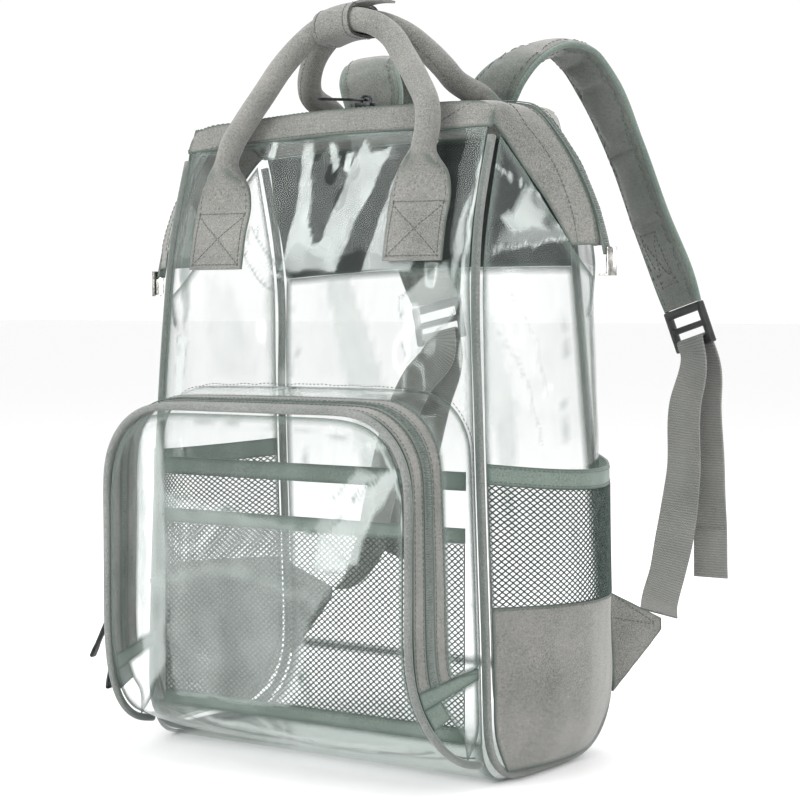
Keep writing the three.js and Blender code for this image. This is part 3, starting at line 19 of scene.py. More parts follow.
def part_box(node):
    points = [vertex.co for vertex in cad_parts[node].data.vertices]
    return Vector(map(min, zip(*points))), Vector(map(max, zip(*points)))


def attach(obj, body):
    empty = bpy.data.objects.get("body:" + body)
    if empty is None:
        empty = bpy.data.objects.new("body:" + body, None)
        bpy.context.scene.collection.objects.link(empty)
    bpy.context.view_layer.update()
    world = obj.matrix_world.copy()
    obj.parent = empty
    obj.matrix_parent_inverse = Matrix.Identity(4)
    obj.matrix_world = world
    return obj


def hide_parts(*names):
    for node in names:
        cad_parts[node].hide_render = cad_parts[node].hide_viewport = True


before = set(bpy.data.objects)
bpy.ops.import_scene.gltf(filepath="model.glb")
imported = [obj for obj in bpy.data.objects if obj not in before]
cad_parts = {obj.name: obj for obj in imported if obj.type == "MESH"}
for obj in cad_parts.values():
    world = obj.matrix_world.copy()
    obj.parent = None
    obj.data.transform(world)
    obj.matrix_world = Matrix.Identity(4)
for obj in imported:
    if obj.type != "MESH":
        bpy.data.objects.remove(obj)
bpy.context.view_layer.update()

Object = bpy.types.Object
Array = np.ndarray
Field = Callable[[Array], Array]
MM = 0.001
BAG = "bag"
SHARP = 50.0
MERGE = 2e-5
log = logging.getLogger("backpack")


class Side(Enum):
    """The two sides of the bag, as seen from the front."""

    RIGHT = 1
    LEFT = -1

    @property
    def word(self) -> str:
        """The side's word in the names of its pieces."""
        return self.name.lower()


class Mark(Enum):
    """What a painted mark shows: a painted reflection or painted shade on the clear film, or painted shade
    on the cloth.
    """

    GLARE = "glare"
    # painted shade on the film: dark lines along folds and shaded areas
    CREASE = "crease"
    # painted shade on the cloth: cut edges, seam grooves, gathers, piping flanks and the straps' inner
    # faces
    EDGE = "edge"


# Small tools for meshes


def choose(obj: Object) -> None:
    """Makes obj the only selected and active object, in object mode."""
    bpy.ops.object.select_all(action="DESELECT")
    obj.select_set(True)
    bpy.context.view_layer.objects.active = obj


def solid(name: str, points: Sequence, faces: Sequence) -> Object:
    """Makes a mesh object.

    Args:
        name: name of the piece.
        points: its corners, in metres.
        faces: lists of corner numbers.

    Returns:
        The object, linked to the scene.
    """
    mesh = bpy.data.meshes.new(name)
    mesh.from_pydata([tuple(p) for p in points], [], [tuple(int(i) for i in f) for f in faces])
    obj = bpy.data.objects.new(name, mesh)
    bpy.context.scene.collection.objects.link(obj)
    return obj


def coords(obj: Object) -> Array:
    """The corners of obj as an array of rows x, y, z."""
    flat = np.empty(3 * len(obj.data.vertices))
    obj.data.vertices.foreach_get("co", flat)
    return flat.reshape(-1, 3)


def move_to(obj: Object, points: Array) -> None:
    """Puts the corners of obj at points."""
    obj.data.vertices.foreach_set("co", np.ascontiguousarray(points, dtype=np.float32).ravel())
    obj.data.update()


def copy_of(node: str, name: str) -> Object:
    """Makes a merged copy of a CAD solid with four-sided faces.

    Args:
        node: name of the CAD node.
        name: name of the new piece.

    Returns:
        The copy.
    """
    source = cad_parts[node].data
    obj = solid(name, [v.co for v in source.vertices], [p.vertices for p in source.polygons])
    choose(obj)
    bpy.ops.object.mode_set(mode="EDIT")
    bpy.ops.mesh.select_all(action="SELECT")
    bpy.ops.mesh.remove_doubles(threshold=MERGE)
    bpy.ops.mesh.tris_convert_to_quads(face_threshold=1.1, shape_threshold=3.1)
    bpy.ops.object.mode_set(mode="OBJECT")
    return obj


def editing(obj: Object, mode: str) -> None:
    """Opens obj in edit mode with nothing selected, for corners, edges or faces."""
    choose(obj)
    bpy.ops.object.mode_set(mode="EDIT")
    bpy.ops.mesh.select_all(action="DESELECT")
    bpy.ops.mesh.select_mode(type=mode)


def edited() -> None:
    """Leaves edit mode, with corners as what is selected next time."""
    bpy.ops.mesh.select_mode(type="VERT")
    bpy.ops.object.mode_set(mode="OBJECT")


def outward(obj: Object) -> None:
    """Turns all faces of obj outwards."""
    editing(obj, "VERT")
    bpy.ops.mesh.select_all(action="SELECT")
    bpy.ops.mesh.normals_make_consistent(inside=False)
    bpy.ops.object.mode_set(mode="OBJECT")


def refine(obj: Object, levels: int, sharp: float = SHARP) -> Object:
    """Smooths obj with a subdivision surface that keeps its sharp edges.

    Args:
        obj: the piece.
        levels: how often its faces are divided.
        sharp: edges bent by more than this, in degrees, stay sharp.

    Returns:
        The same piece.
    """
    editing(obj, "EDGE")
    bpy.ops.mesh.edges_select_sharp(sharpness=math.radians(sharp))
    bpy.ops.transform.edge_crease(value=1.0)
    edited()
    finer = obj.modifiers.new("finer", "SUBSURF")
    finer.levels = finer.render_levels = levels
    bpy.ops.object.modifier_apply(modifier=finer.name)
    return obj


def bevelled(obj: Object, width: float, segments: int = 2) -> Object:
    """Rounds the sharp edges of obj by width, in metres."""
    choose(obj)
    edge = obj.modifiers.new("edge", "BEVEL")
    edge.width = width
    edge.segments = segments
    edge.limit_method = "ANGLE"
    edge.angle_limit = math.radians(35)
    bpy.ops.object.modifier_apply(modifier=edge.name)
    return obj


def smooth(obj: Object, degrees: float = 40.0) -> Object:
    """Shades obj smooth, apart from edges sharper than degrees."""
    choose(obj)
    bpy.ops.object.shade_smooth_by_angle(angle=math.radians(degrees))
    return obj


def ripple(points: Array, length: float, seed: int, waves: int = 7) -> Array:
    """Even, seeded noise of about one, made of plane waves.

    Args:
        points: rows x, y, z in metres.
        length: length of a wave, in metres.
        seed: number that fixes the pattern.
        waves: how many waves are added.

    Returns:
        One number for each point.
    """
    rng = np.random.default_rng(seed)
    total = np.zeros(len(points))
    for _ in range(waves):
        way = rng.normal(size=3)
        way *= 2 * math.pi * rng.uniform(0.6, 1.6) / (length * np.linalg.norm(way))
        total += np.sin(points @ way + rng.uniform(0, 2 * math.pi))
    return total / math.sqrt(waves)


def bump_step(x: Array, low: float, high: float) -> Array:
    """Smooth step from 0 at low to 1 at high."""
    t = np.clip((x - low) / (high - low), 0, 1)
    return t * t * (3 - 2 * t)


def through(keys: Array, values: Array, at: Array) -> Array:
    """Values on a smooth curve through rows of a table.

    Args:
        keys: rising numbers, one for each row.
        values: the rows.
        at: where the curve is read.

    Returns:
        One row for each number in at.
    """
    keys, values, at = np.asarray(keys, float), np.asarray(values, float), np.asarray(at, float)
    slopes = np.gradient(values, keys, axis=0)
    i = np.clip(np.searchsorted(keys, at, side="right") - 1, 0, len(keys) - 2)
    span = keys[i + 1] - keys[i]
    t = (at - keys[i]) / span
    if values.ndim > 1:
        t, span = t[:, None], span[:, None]
    a, b, da, db = values[i], values[i + 1], slopes[i] * span, slopes[i + 1] * span
    return (
        a * (1 + 2 * t) * (1 - t) ** 2 + b * t * t * (3 - 2 * t)
        + da * t * (1 - t) ** 2 - db * t * t * (1 - t)
    )


def lengths(line: Array) -> Array:
    """Distance along a line at each of its points."""
    return np.concatenate([[0], np.cumsum(np.linalg.norm(np.diff(line, axis=0), axis=1))])


def paced(line: Array, pitch: float) -> Array:
    """Points at an even pitch, in metres, on the smooth curve through line."""
    along = lengths(line)
    count = max(2, int(round(along[-1] / pitch)) + 1)
    return through(along, line, np.linspace(0, along[-1], count))


def rings(node: str, size: int, start: Callable[[Array], float]) -> list[Array]:
    """Cross-sections of a CAD sweep, from one end to the other.

    Args:
        node: name of the CAD node.
        size: how many corners each section has.
        start: key that is lowest on the corners of the first section.

    Returns:
        The corners of each section.
    """
    obj = copy_of(node, "sections")
    points = coords(obj)
    near: list[set[int]] = [set() for _ in points]
    for polygon in obj.data.polygons:
        for i in polygon.vertices:
            near[i].update(polygon.vertices)
    bpy.data.objects.remove(obj)
    current = set(sorted(range(len(points)), key=lambda i: start(points[i]))[:size])
    seen: set[int] = set()
    found = []
    while current:
        if len(current) != size:
            log.warning("%s: a section of %d corners, not %d", node, len(current), size)
        found.append(points[sorted(current)])
        seen |= current
        current = set().union(*(near[i] for i in current)) - seen
    return found


@dataclass
class Band:
    """A flat or padded band: a centre line with its width and thickness, each with a direction."""

    centre: Array
    across: Array
    normal: Array
    width: Array
    thick: Array

    @classmethod
    def of(cls, sections: Sequence[Array], upright: Vector | None = None) -> "Band":
        """Reads a band from its sections.

        Args:
            sections: corners of each section.
            upright: direction of the thickness, where the sections are too round to tell.

        Returns:
            The band.
        """
        centre = np.array([s.mean(0) for s in sections])
        along = np.gradient(centre, axis=0)
        along /= np.linalg.norm(along, axis=1)[:, None]
        across, normal = [], []
        for s, c, t in zip(sections, centre, along):
            if upright is None:
                way = np.linalg.svd(s - c)[2][0]
                way = way - t * (way @ t)
                if across and way @ across[-1] < 0:
                    way = -way
            else:
                up = np.array(upright) - t * (np.array(upright) @ t)
                way = np.cross(up, t)
            way = way / np.linalg.norm(way)
            across.append(way)
            normal.append(np.cross(t, way))
        across, normal = np.array(across), np.array(normal)
        reach = lambda axis: np.array([np.ptp((s - c) @ a) for s, c, a in zip(sections, centre, axis)])
        return cls(centre, across, normal, reach(across), reach(normal))

    def finer(self, pitch: float) -> "Band":
        """The same band with a section every pitch metres."""
        along = lengths(self.centre)
        at = np.linspace(0, along[-1], max(2, int(along[-1] / pitch)) + 1)
        get = lambda values: through(along, values, at)
        unit = lambda v: v / np.linalg.norm(v, axis=1)[:, None]
        across, normal = unit(get(self.across)), unit(get(self.normal))
        return Band(get(self.centre), across, normal, get(self.width), get(self.thick))

    def stations(self) -> zip:
        """Middle, ways across and out, width and thickness of each section."""
        return zip(self.centre, self.across, self.normal, self.width, self.thick)

    def line(self, share: float, lift: float) -> Array:
        """A line along the band, share of the half width off its middle and lift above its face."""
        side = self.across * (share * self.width / 2)[:, None]
        return self.centre + side + self.normal * (np.sign(lift) * self.thick / 2 + lift)[:, None]


def skin(name: str, sections: Sequence[Array]) -> Object:
    """Makes a closed tube through sections of equal size.

    Args:
        name: name of the piece.
        sections: rings of corners.

    Returns:
        The piece, with the length along it and round it as its UV map.
    """
    count, sides = len(sections), len(sections[0])
    points = np.concatenate(sections)
    faces = [
        (i * sides + j, i * sides + (j + 1) % sides,
         (i + 1) * sides + (j + 1) % sides, (i + 1) * sides + j)
        for i in range(count - 1)
        for j in range(sides)
    ]
    points = np.concatenate([points, [sections[0].mean(0), sections[-1].mean(0)]])
    last = (count - 1) * sides
    for j in range(sides):
        n = (j + 1) % sides
        faces += [(n, j, count * sides), (last + j, last + n, count * sides + 1)]
    obj = solid(name, points, faces)
    along = lengths(np.array([s.mean(0) for s in sections]))
    round_ = lengths(np.vstack([sections[count // 2], sections[count // 2][:1]]))
    uv = obj.data.uv_layers.new(name="cloth")
    for polygon in obj.data.polygons:
        for loop in polygon.loop_indices:
            vertex = obj.data.loops[loop].vertex_index
            i, j = min(vertex // sides, count - 1), vertex % sides
            j = sides if j == 0 and any(obj.data.loops[k].vertex_index % sides == sides - 1
                                        for k in polygon.loop_indices) else j
            uv.data[loop].uv = (round_[j], along[i])
    outward(obj)
    return obj


def piping(name: str, line: Array, radius: float, sides: int = 8) -> Object:
    """Makes a round cord along a line of points."""
    fine = paced(line, 3 * MM)
    along = np.gradient(fine, axis=0)
    along /= np.linalg.norm(along, axis=1)[:, None]
    side = np.cross(along[0], [0.3, 0.5, 0.81])
    sections = []
    for c, t in zip(fine, along):
        side = side - t * (side @ t)
        side /= np.linalg.norm(side)
        up = np.cross(t, side)
        turn = np.linspace(0, 2 * math.pi, sides, endpoint=False)
        sections.append(c + radius * (np.outer(np.cos(turn), side) + np.outer(np.sin(turn), up)))
    return smooth(skin(name, sections), 60)


def paint(obj: Object, mark: Mark, values: Array) -> None:
    """Stores values from 0 to 1 at the corners of obj for its material."""
    layer = obj.data.attributes.get(mark.value) or obj.data.attributes.new(mark.value, "FLOAT", "POINT")
    layer.data.foreach_set("value", np.clip(values, 0, 1).astype(np.float32))


def rim_gap(obj: Object, sharp: float = SHARP) -> Array:
    """Distance of each corner from the nearest edge bent by more than sharp, in degrees."""
    editing(obj, "EDGE")
    bpy.ops.mesh.edges_select_sharp(sharpness=math.radians(sharp))
    edited()
    points = coords(obj)
    rim = KDTree(len(points))
    for i, vertex in enumerate(obj.data.vertices):
        if vertex.select:
            rim.insert(vertex.co, i)
    rim.balance()
    found = [rim.find(p) for p in points]
    return np.array([1.0 if near is None else gap for near, _, gap in found])


def shade_rim(obj: Object, sharp: float = SHARP, width: float = 1.1 * MM) -> None:
    """Paints shade on the cut edges of a cloth piece: painted shade, darker up to width from them."""
    paint(obj, Mark.EDGE, np.exp(-((rim_gap(obj, sharp) / width) ** 2)))


# Finishes


@dataclass(frozen=True)
class Value:
    """A shader socket that takes part in Python expressions."""

    shader: "Shader"
    socket: bpy.types.NodeSocket

    def _with(self, operation: str, first: "Value | float", second: "Value | float") -> "Value":
        """The Math node that combines two values."""
        return self.shader.node("Math", {"operation": operation}, {0: first, 1: second})

    def __add__(self, other: "Value | float") -> "Value":
        """self + other."""
        return self._with("ADD", self, other)

    def __sub__(self, other: "Value | float") -> "Value":
        """self - other."""
        return self._with("SUBTRACT", self, other)

    def __rsub__(self, other: float) -> "Value":
        """other - self."""
        return self._with("SUBTRACT", other, self)

    def __mul__(self, other: "Value | float") -> "Value":
        """self * other."""
        return self._with("MULTIPLY", self, other)

    def __truediv__(self, other: "Value | float") -> "Value":
        """self / other."""
        return self._with("DIVIDE", self, other)

    __radd__ = __add__
    __rmul__ = __mul__


class Shader:
    """A material that is put together from Python expressions."""

    def __init__(self, name: str) -> None:
        """Starts an empty material.

        Args:
            name: its name.
        """
        self.material = bpy.data.materials.new(name)
        self.material.use_nodes = True
        self.tree = self.material.node_tree
        self.tree.nodes.clear()

    def node(self, kind: str, settings: Mapping, inputs: Mapping, output: int | str = 0) -> Value:
        """Adds a node.

        Args:
            kind: its type, without ShaderNode.
            settings: its properties, and the stops of a ramp.
            inputs: values or links of its sockets.
            output: the socket to return.

        Returns:
            That output socket.
        """
        made = self.tree.nodes.new("ShaderNode" + kind)
        for key, value in settings.items():
            if key == "stops":
                elements = made.color_ramp.elements
                elements.remove(elements[1])
                elements[0].position, elements[0].color = value[0][0], (*[value[0][1]] * 3, 1)
                for place, level in value[1:]:
                    elements.new(place).color = (level, level, level, 1)
            else:
                setattr(made, key, value)
        for key, value in inputs.items():
            if isinstance(value, Value):
                self.tree.links.new(value.socket, made.inputs[key])
            else:
                made.inputs[key].default_value = value
        return Value(self, made.outputs[output])

    def place(self) -> Value:
        """The point on the piece, in metres."""
        return self.node("TexCoord", {}, {}, "Object")

    def grain(self, scale: float, detail: float = 2.0, squash: Sequence[float] = (1, 1, 1)) -> Value:
        """Noise at scale waves a metre, stretched by squash."""
        spot = self.node("Mapping", {}, {"Vector": self.place(), "Scale": tuple(squash)})
        return self.node("TexNoise", {}, {"Vector": spot, "Scale": scale, "Detail": detail})

    def between(self, share: Value, low: "Value | tuple", high: "Value | tuple") -> Value:
        """Colour between two colours at a share."""
        return self.node("Mix", {"data_type": "RGBA"}, {0: share, 6: low, 7: high}, 2)

    def relief(self, height: Value, strength: float, distance: float) -> Value:
        """Normal of a height, in units of distance."""
        return self.node("Bump", {}, {"Strength": strength, "Distance": distance, "Height": height})

    def finish(self, surface: Value) -> bpy.types.Material:
        """Puts a shader on the output and gives the material."""
        out = self.tree.nodes.new("ShaderNodeOutputMaterial")
        self.tree.links.new(surface.socket, out.inputs[0])
        return self.material


def colour(red: float, green: float, blue: float) -> tuple[float, float, float, float]:
    """Scene colour of a screen colour from 0 to 255."""
    values = [c / 255 for c in (red, green, blue)]
    return (*[c / 12.92 if c < 0.04045 else ((c + 0.055) / 1.055) ** 2.4 for c in values], 1.0)


@dataclass(frozen=True)
class Woven:
    """Plain woven polyester: threads that cross, with slight random changes of tone, and painted shade
    where the edge mark is painted.
    """

    name: str
    dark: tuple
    light: tuple
    pitch: float = 1.1 * MM
    depth: float = 0.12 * MM
    rough: float = 0.86
    sheen: float = 0.25

    def made(self) -> bpy.types.Material:
        """The material."""
        s = Shader(self.name)
        spot = s.node("SeparateXYZ", {}, {0: s.place()})
        x, y, z = (Value(s, spot.socket.node.outputs[i]) for i in range(3))
        turns = 2 * math.pi / self.pitch
        sine = lambda v: s.node("Math", {"operation": "SINE"}, {0: v})
        weave = sine((x + 0.7 * y) * turns) * sine((z + 0.35 * y) * turns)
        fine = s.grain(1400, 2)
        cloud = s.grain(22, 3)
        slub = s.grain(160, 2, (1, 1, 6))
        share = weave * 0.26 + (fine - 0.5) * 1.9 + (cloud - 0.5) * 0.8 + (slub - 0.5) * 0.35 + 0.56
        # Painted shade: where the edge mark is painted, the colour turns to a dark green shade.
        edge = s.node("Attribute", {"attribute_name": Mark.EDGE.value}, {}, "Fac")
        shade = s.between(edge * 0.8, s.between(share, self.dark, self.light), colour(58, 76, 67))
        normal = s.relief(weave * 0.6 + fine * 0.9 + slub * 0.4, 0.55, self.depth)
        body = s.node("BsdfPrincipled", {}, {
            "Base Color": shade, "Roughness": fine * 0.12 + self.rough - 0.06, "Normal": normal,
            "Sheen Weight": self.sheen, "Sheen Roughness": 0.5, "Specular IOR Level": 0.25,
        })
        return s.finish(body)


@dataclass(frozen=True)
class Ribbed:
    """Woven band with ribs across its length, which follow its UV map."""

    name: str
    dark: tuple
    light: tuple
    pitch: float = 1.7 * MM

    def made(self) -> bpy.types.Material:
        """The material."""
        s = Shader(self.name)
        flat = s.node("UVMap", {"uv_map": "cloth"}, {})
        spot = s.node("SeparateXYZ", {}, {0: flat})
        u, v = (Value(s, spot.socket.node.outputs[i]) for i in range(2))
        sine = lambda w: s.node("Math", {"operation": "SINE"}, {0: w})
        turns = 2 * math.pi / self.pitch
        rib = sine(v * turns + sine(u * turns * 0.8) * 0.9)
        fine = s.grain(1200, 2)
        cloud = s.grain(30, 2)
        shade = s.between(rib * 0.2 + fine * 0.5 + cloud * 0.5, self.dark, self.light)
        normal = s.relief(rib + fine * 0.5, 0.6, 0.2 * MM)
        body = s.node("BsdfPrincipled", {}, {
            "Base Color": shade, "Roughness": fine * 0.1 + 0.76, "Normal": normal,
            "Sheen Weight": 0.2, "Specular IOR Level": 0.3,
        })
        return s.finish(body)


@dataclass(frozen=True)
class Film:
    """Clear vinyl: mirrors at a slant, with painted glare as painted reflections, painted shade along
    creases and a faint cloud.
    """

    name: str
    tint: tuple
    pale: tuple
    deep: tuple
    haze: float = 0.004
    wave: float = 0.7 * MM

    def made(self) -> bpy.types.Material:
        """The material."""
        s = Shader(self.name)
        soft = s.grain(16, 3, (1, 1, 0.45))
        sharp = s.grain(70, 2, (1, 1, 0.3))
        normal = s.relief(soft + sharp * 0.12, 0.5, self.wave)
        # Painted reflections (glare) and painted shade (crease) veil the film in the pale tone or the
        # painted shade tone.
        glare = s.node("Attribute", {"attribute_name": Mark.GLARE.value}, {}, "Fac")
        crease = s.node("Attribute", {"attribute_name": Mark.CREASE.value}, {}, "Fac")
        streak = s.node("ValToRGB", {"stops": [(0.52, 0.0), (0.64, 1.0)]}, {0: sharp})
        slant = s.node("LayerWeight", {}, {"Blend": 0.5, "Normal": normal}, "Facing")
        mirror = s.node("Math", {"operation": "POWER"}, {0: slant, 1: 4.5}) * 0.8 + 0.016
        cloud = streak * 0.016 + self.haze
        veil = cloud + glare * 0.5 + crease * 0.8
        whole = s.node("Math", {"operation": "ADD", "use_clamp": True}, {0: mirror, 1: veil})
        shade = s.between(crease / (crease + glare + 0.12), self.pale, self.deep)
        body = s.node("BsdfPrincipled", {}, {
            "Base Color": shade, "Metallic": mirror / (whole + 0.001), "Roughness": 0.05 + soft * 0.06,
            "Normal": normal, "Specular IOR Level": 0.3,
        })
        clear = s.node("BsdfTransparent", {}, {"Color": self.tint})
        return s.finish(s.node("MixShader", {}, {0: whole, 1: clear, 2: body}))


@dataclass(frozen=True)
class Hard:
    """Metal or moulded plastic with a fine wear and a slight wave."""

    name: str
    dark: tuple
    light: tuple
    metallic: float
    rough: float
    scale: float = 300

    def made(self) -> bpy.types.Material:
        """The material."""
        s = Shader(self.name)
        fine = s.grain(self.scale * 6, 3)
        cloud = s.grain(self.scale, 3)
        body = s.node("BsdfPrincipled", {}, {
            "Base Color": s.between((cloud - 0.5) * 3.0 + 0.5, self.dark, self.light),
            "Metallic": self.metallic,
            "Roughness": cloud * 0.16 + self.rough - 0.05,
            "Normal": s.relief(fine, 0.25, 0.04 * MM),
        })
        return s.finish(body)


class Finishes:
    """All the finishes of the bag, each made once."""

    def __init__(self) -> None:
        """Makes the materials."""
        self.fabric = Woven("grey_woven", colour(66, 72, 68), colour(143, 141, 137)).made()
        # Painted shade: a darker copy of the grey woven fabric, used for the back yoke.
        self.lining = Woven("shaded_woven", colour(10, 17, 14), colour(38, 46, 42)).made()
        self.binding = Woven("binding_tape", colour(74, 90, 82), colour(122, 134, 127), 0.9 * MM).made()
        self.piping = Woven("piping_cloth", colour(76, 84, 80), colour(138, 139, 136), 0.9 * MM).made()
        self.thread = Woven("sewing_thread", colour(58, 66, 62), colour(92, 98, 94), 0.5 * MM).made()
        self.webbing = Ribbed("ribbed_webbing", colour(80, 86, 82), colour(150, 149, 145)).made()
        self.net = Hard("net_cord", colour(38, 52, 46), colour(66, 80, 74), 0.0, 0.6).made()
        self.tape = Woven("zip_tape", colour(98, 105, 101), colour(140, 142, 138), 0.8 * MM).made()
        self.coil = Hard("zip_coil", colour(70, 84, 78), colour(112, 124, 117), 0.0, 0.42).made()
        self.chrome = Hard("bright_metal", colour(40, 42, 42), colour(225, 222, 216), 1.0, 0.12, 150).made()
        self.gunmetal = Hard("dark_metal", colour(34, 36, 37), colour(62, 64, 66), 0.9, 0.32, 160).made()
        self.plastic = Hard("black_plastic", colour(16, 17, 18), colour(34, 35, 36), 0.0, 0.36, 200).made()
        # Film tones: pale for the haze and the painted glare, dark green for painted shade at creases and
        # sheet edges.
        pale, deep = colour(205, 212, 209), colour(62, 80, 72)
        self.film = Film("clear_vinyl", (0.993, 0.997, 0.995, 1), pale, deep).made()
        self.thick_film = Film("clear_base_vinyl", (0.975, 0.986, 0.981, 1), pale, deep, 0.03).made()


def dress(obj: Object, material: bpy.types.Material, nodes: Sequence[str],
          body: str = BAG) -> Object:
    """Gives a finished piece its material and body, and hides the CAD nodes that it stands for.

    Args:
        obj: the piece.
        material: its finish.
        nodes: CAD nodes that it stands for.
        body: the CAD body that it rides on.

    Returns:
        The same piece.
    """
    obj.data.materials.clear()
    obj.data.materials.append(material)
    if nodes:
        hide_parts(*nodes)
    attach(obj, body)
    log.info("%s: %d faces", obj.name, len(obj.data.polygons))
    return obj


# Stitching


class Needle:
    """One stitch, modelled once, and the rows that are sewn with it."""

    def __init__(self, length: float = 2.3 * MM, radius: float = 0.34 * MM) -> None:
        """Models the stitch along Z with tapered ends.

        Args:
            length: length of the stitch.
            radius: radius of the thread.
        """
        bpy.ops.object.select_all(action="DESELECT")
        bpy.ops.mesh.primitive_cylinder_add(vertices=5, radius=radius, depth=0.7 * length)
        stitch = bpy.context.active_object
        for end in (1, -1):
            bpy.ops.object.mode_set(mode="EDIT")
            bpy.ops.mesh.select_all(action="DESELECT")
            bpy.ops.mesh.select_mode(type="FACE")
            bpy.ops.object.mode_set(mode="OBJECT")
            for polygon in stitch.data.polygons:
                polygon.select = polygon.normal.z * end > 0.9
            bpy.ops.object.mode_set(mode="EDIT")
            bpy.ops.mesh.extrude_region_move(
                TRANSFORM_OT_translate={"value": (0, 0, end * 0.15 * length)})
            bpy.ops.transform.resize(value=(0.45, 0.45, 1), center_override=(0, 0, end * 0.5 * length))
        edited()
        self.points = coords(stitch)
        self.faces = [list(p.vertices) for p in stitch.data.polygons]
        bpy.data.objects.remove(stitch)

    def sew(self, name: str, rows: Sequence[tuple[Array, Vector]], cloth: Sequence[Object],
            material: bpy.types.Material, pitch: float = 3.4 * MM, scale: float = 1.0) -> Object:
        """Sews rows of stitches onto cloth.

        Args:
            name: name of the piece.
            rows: lines of points with the direction away from the cloth.
            cloth: pieces that the stitches lie on.
            material: finish of the thread.
            pitch: distance between stitches.
            scale: size of a stitch against the usual one.

        Returns:
            The piece that holds all the stitches.
        """
        skins = [BVHTree.FromPolygons([v.co for v in c.data.vertices],
                                      [p.vertices for p in c.data.polygons]) for c in cloth]
        points, faces = [], []
        for row, away in rows:
            line = paced(np.asarray(row, float), pitch)
            ways = np.gradient(line, axis=0)
            for spot, way in zip(line, ways):
                probe = Vector(spot) + 2.5 * MM * Vector(away).normalized()
                hits = [hit for hit in (s.find_nearest(probe) for s in skins) if hit[0] is not None]
                where, normal, _, _ = min(hits, key=lambda h: h[3])
                if (probe - where).dot(normal) < 0:
                    normal = -normal
                z = Vector(way) - normal * normal.dot(Vector(way))
                if z.length < 1e-9:
                    continue
                z.normalize()
                turn = np.array([normal.cross(z), normal, z])
                faces += [[i + len(points) * len(self.points) for i in f] for f in self.faces]
                points.append(self.points * scale @ turn + np.array(where + normal * 0.12 * MM))
        obj = solid(name, np.concatenate(points), faces)
        return dress(smooth(obj, 60), material, [])


# The bag's clear film


@dataclass(frozen=True)
class Patch:
    """A soft-edged mark on the film: a polygon, or a line where width is given. Millimetres."""

    mark: Mark
    strength: float
    points: tuple
    width: float = 0.0
    soft: float = 1.6

    def on(self, flat: Array) -> Array:
        """Strength of the mark at points of its plane, in millimetres."""
        corners = np.array(self.points, float)
        pairs = list(zip(corners[:-1], corners[1:]))
        if not self.width:
            pairs.append((corners[-1], corners[0]))
        gap = np.full(len(flat), 1e9)
        inside = np.zeros(len(flat), bool)
        for a, b in pairs:
            way = b - a
            t = np.clip(((flat - a) @ way) / (way @ way), 0, 1)
            gap = np.minimum(gap, np.linalg.norm(flat - a - t[:, None] * way, axis=1))
            if not self.width:
                with np.errstate(divide="ignore", invalid="ignore"):
                    crosses = (a[1] > flat[:, 1]) != (b[1] > flat[:, 1])
                    x = a[0] + (flat[:, 1] - a[1]) * way[0] / way[1]
                inside ^= crosses & (flat[:, 0] < x)
        signed = np.where(inside, -gap, gap) if not self.width else gap - self.width / 2
        return self.strength * (1 - bump_step(signed, -self.soft / 2, self.soft / 2))


def glare(strength: float, points: tuple, width: float = 0.0, soft: float = 1.6) -> Patch:
    """A pale reflection."""
    return Patch(Mark.GLARE, strength, points, width, soft)


def crease(strength: float, points: tuple, width: float = 0.0, soft: float = 1.6) -> Patch:
    """Painted shade: a dark line along a fold, or a shaded area."""
    return Patch(Mark.CREASE, strength, points, width, soft)


# Marks on each clear sheet, in millimetres in its plane: glare is a painted reflection, crease is painted
# shade.
FRONT_MARKS = (
    glare(0.75, ((-22, 383), (-15, 383), (-10, 352), (-8, 330), (-2, 318), (5, 324), (13, 348),
                 (22, 374), (26, 383), (33, 375), (47, 379), (40, 360), (31, 340), (23, 318),
                 (17, 304), (-26, 304), (-20, 342))),
    glare(0.7, ((62, 379), (68, 366), (76, 372), (74, 350), (68, 330), (76, 312), (72, 303),
                (38, 303), (45, 326), (51, 350), (57, 369))),
    glare(0.9, ((-1, 382), (4, 380), (9, 368), (6, 364)), 0, 1.0),
    glare(0.9, ((14, 377), (19, 376), (19, 364), (15, 366)), 0, 1.0),
    glare(0.9, ((-47, 386), (-43, 386), (-44, 374), (-48, 376)), 0, 1.0),
    glare(0.45, ((66, 286), (86, 300), (98, 308), (110, 287), (104, 276), (84, 259), (72, 246),
                 (69, 270))),
    crease(0.5, ((110, 288), (105, 278), (94, 268), (83, 258), (72, 245)), 0.9, 0.8),
    crease(0.6, ((-52, 332), (-40, 318), (-28, 306), (-20, 298)), 1.3, 1.0),
    glare(0.9, ((-54, 326), (-42, 312), (-30, 301), (-20, 296)), 1.6, 1.2),
    crease(0.65, ((-57, 317), (-48, 306), (-38, 294), (-30, 291)), 1.0, 0.9),
    crease(0.16, ((-32, 296), (-20, 293), (-15, 262), (-13, 238), (-24, 238), (-23, 264)), 0, 3),
    crease(0.14, ((-86, 300), (-60, 292), (-46, 262), (-44, 236), (-80, 236)), 0, 14),
    crease(0.08, ((0, 300), (18, 300), (30, 262), (28, 236), (4, 236)), 0, 16),
    crease(0.5, ((-108, 350), (-100, 336), (-100, 292), (-102, 262), (-109, 300)), 0, 2),
    glare(0.6, ((-109, 262), (-101, 262), (-104, 222), (-110, 222)), 0, 2),
    crease(0.55, ((-110, 382), (-114, 340), (-117, 286), (-119, 232)), 1.2, 1.0),
    crease(0.5, ((-96, 366), (-90, 352), (-97, 344), (-88, 336)), 1.6, 1.2),
    crease(0.5, ((119, 380), (115, 326), (114, 268), (117, 204)), 1.4, 1.2),
    glare(0.9, ((116, 380), (112, 326), (111, 268), (114, 210)), 2.2, 1.4),
    glare(0.6, ((110, 350), (103, 318), (105, 292), (109, 318)), 0, 2),
    crease(0.35, ((104, 306), (110, 288), (114, 262)), 0.9, 0.9),
)
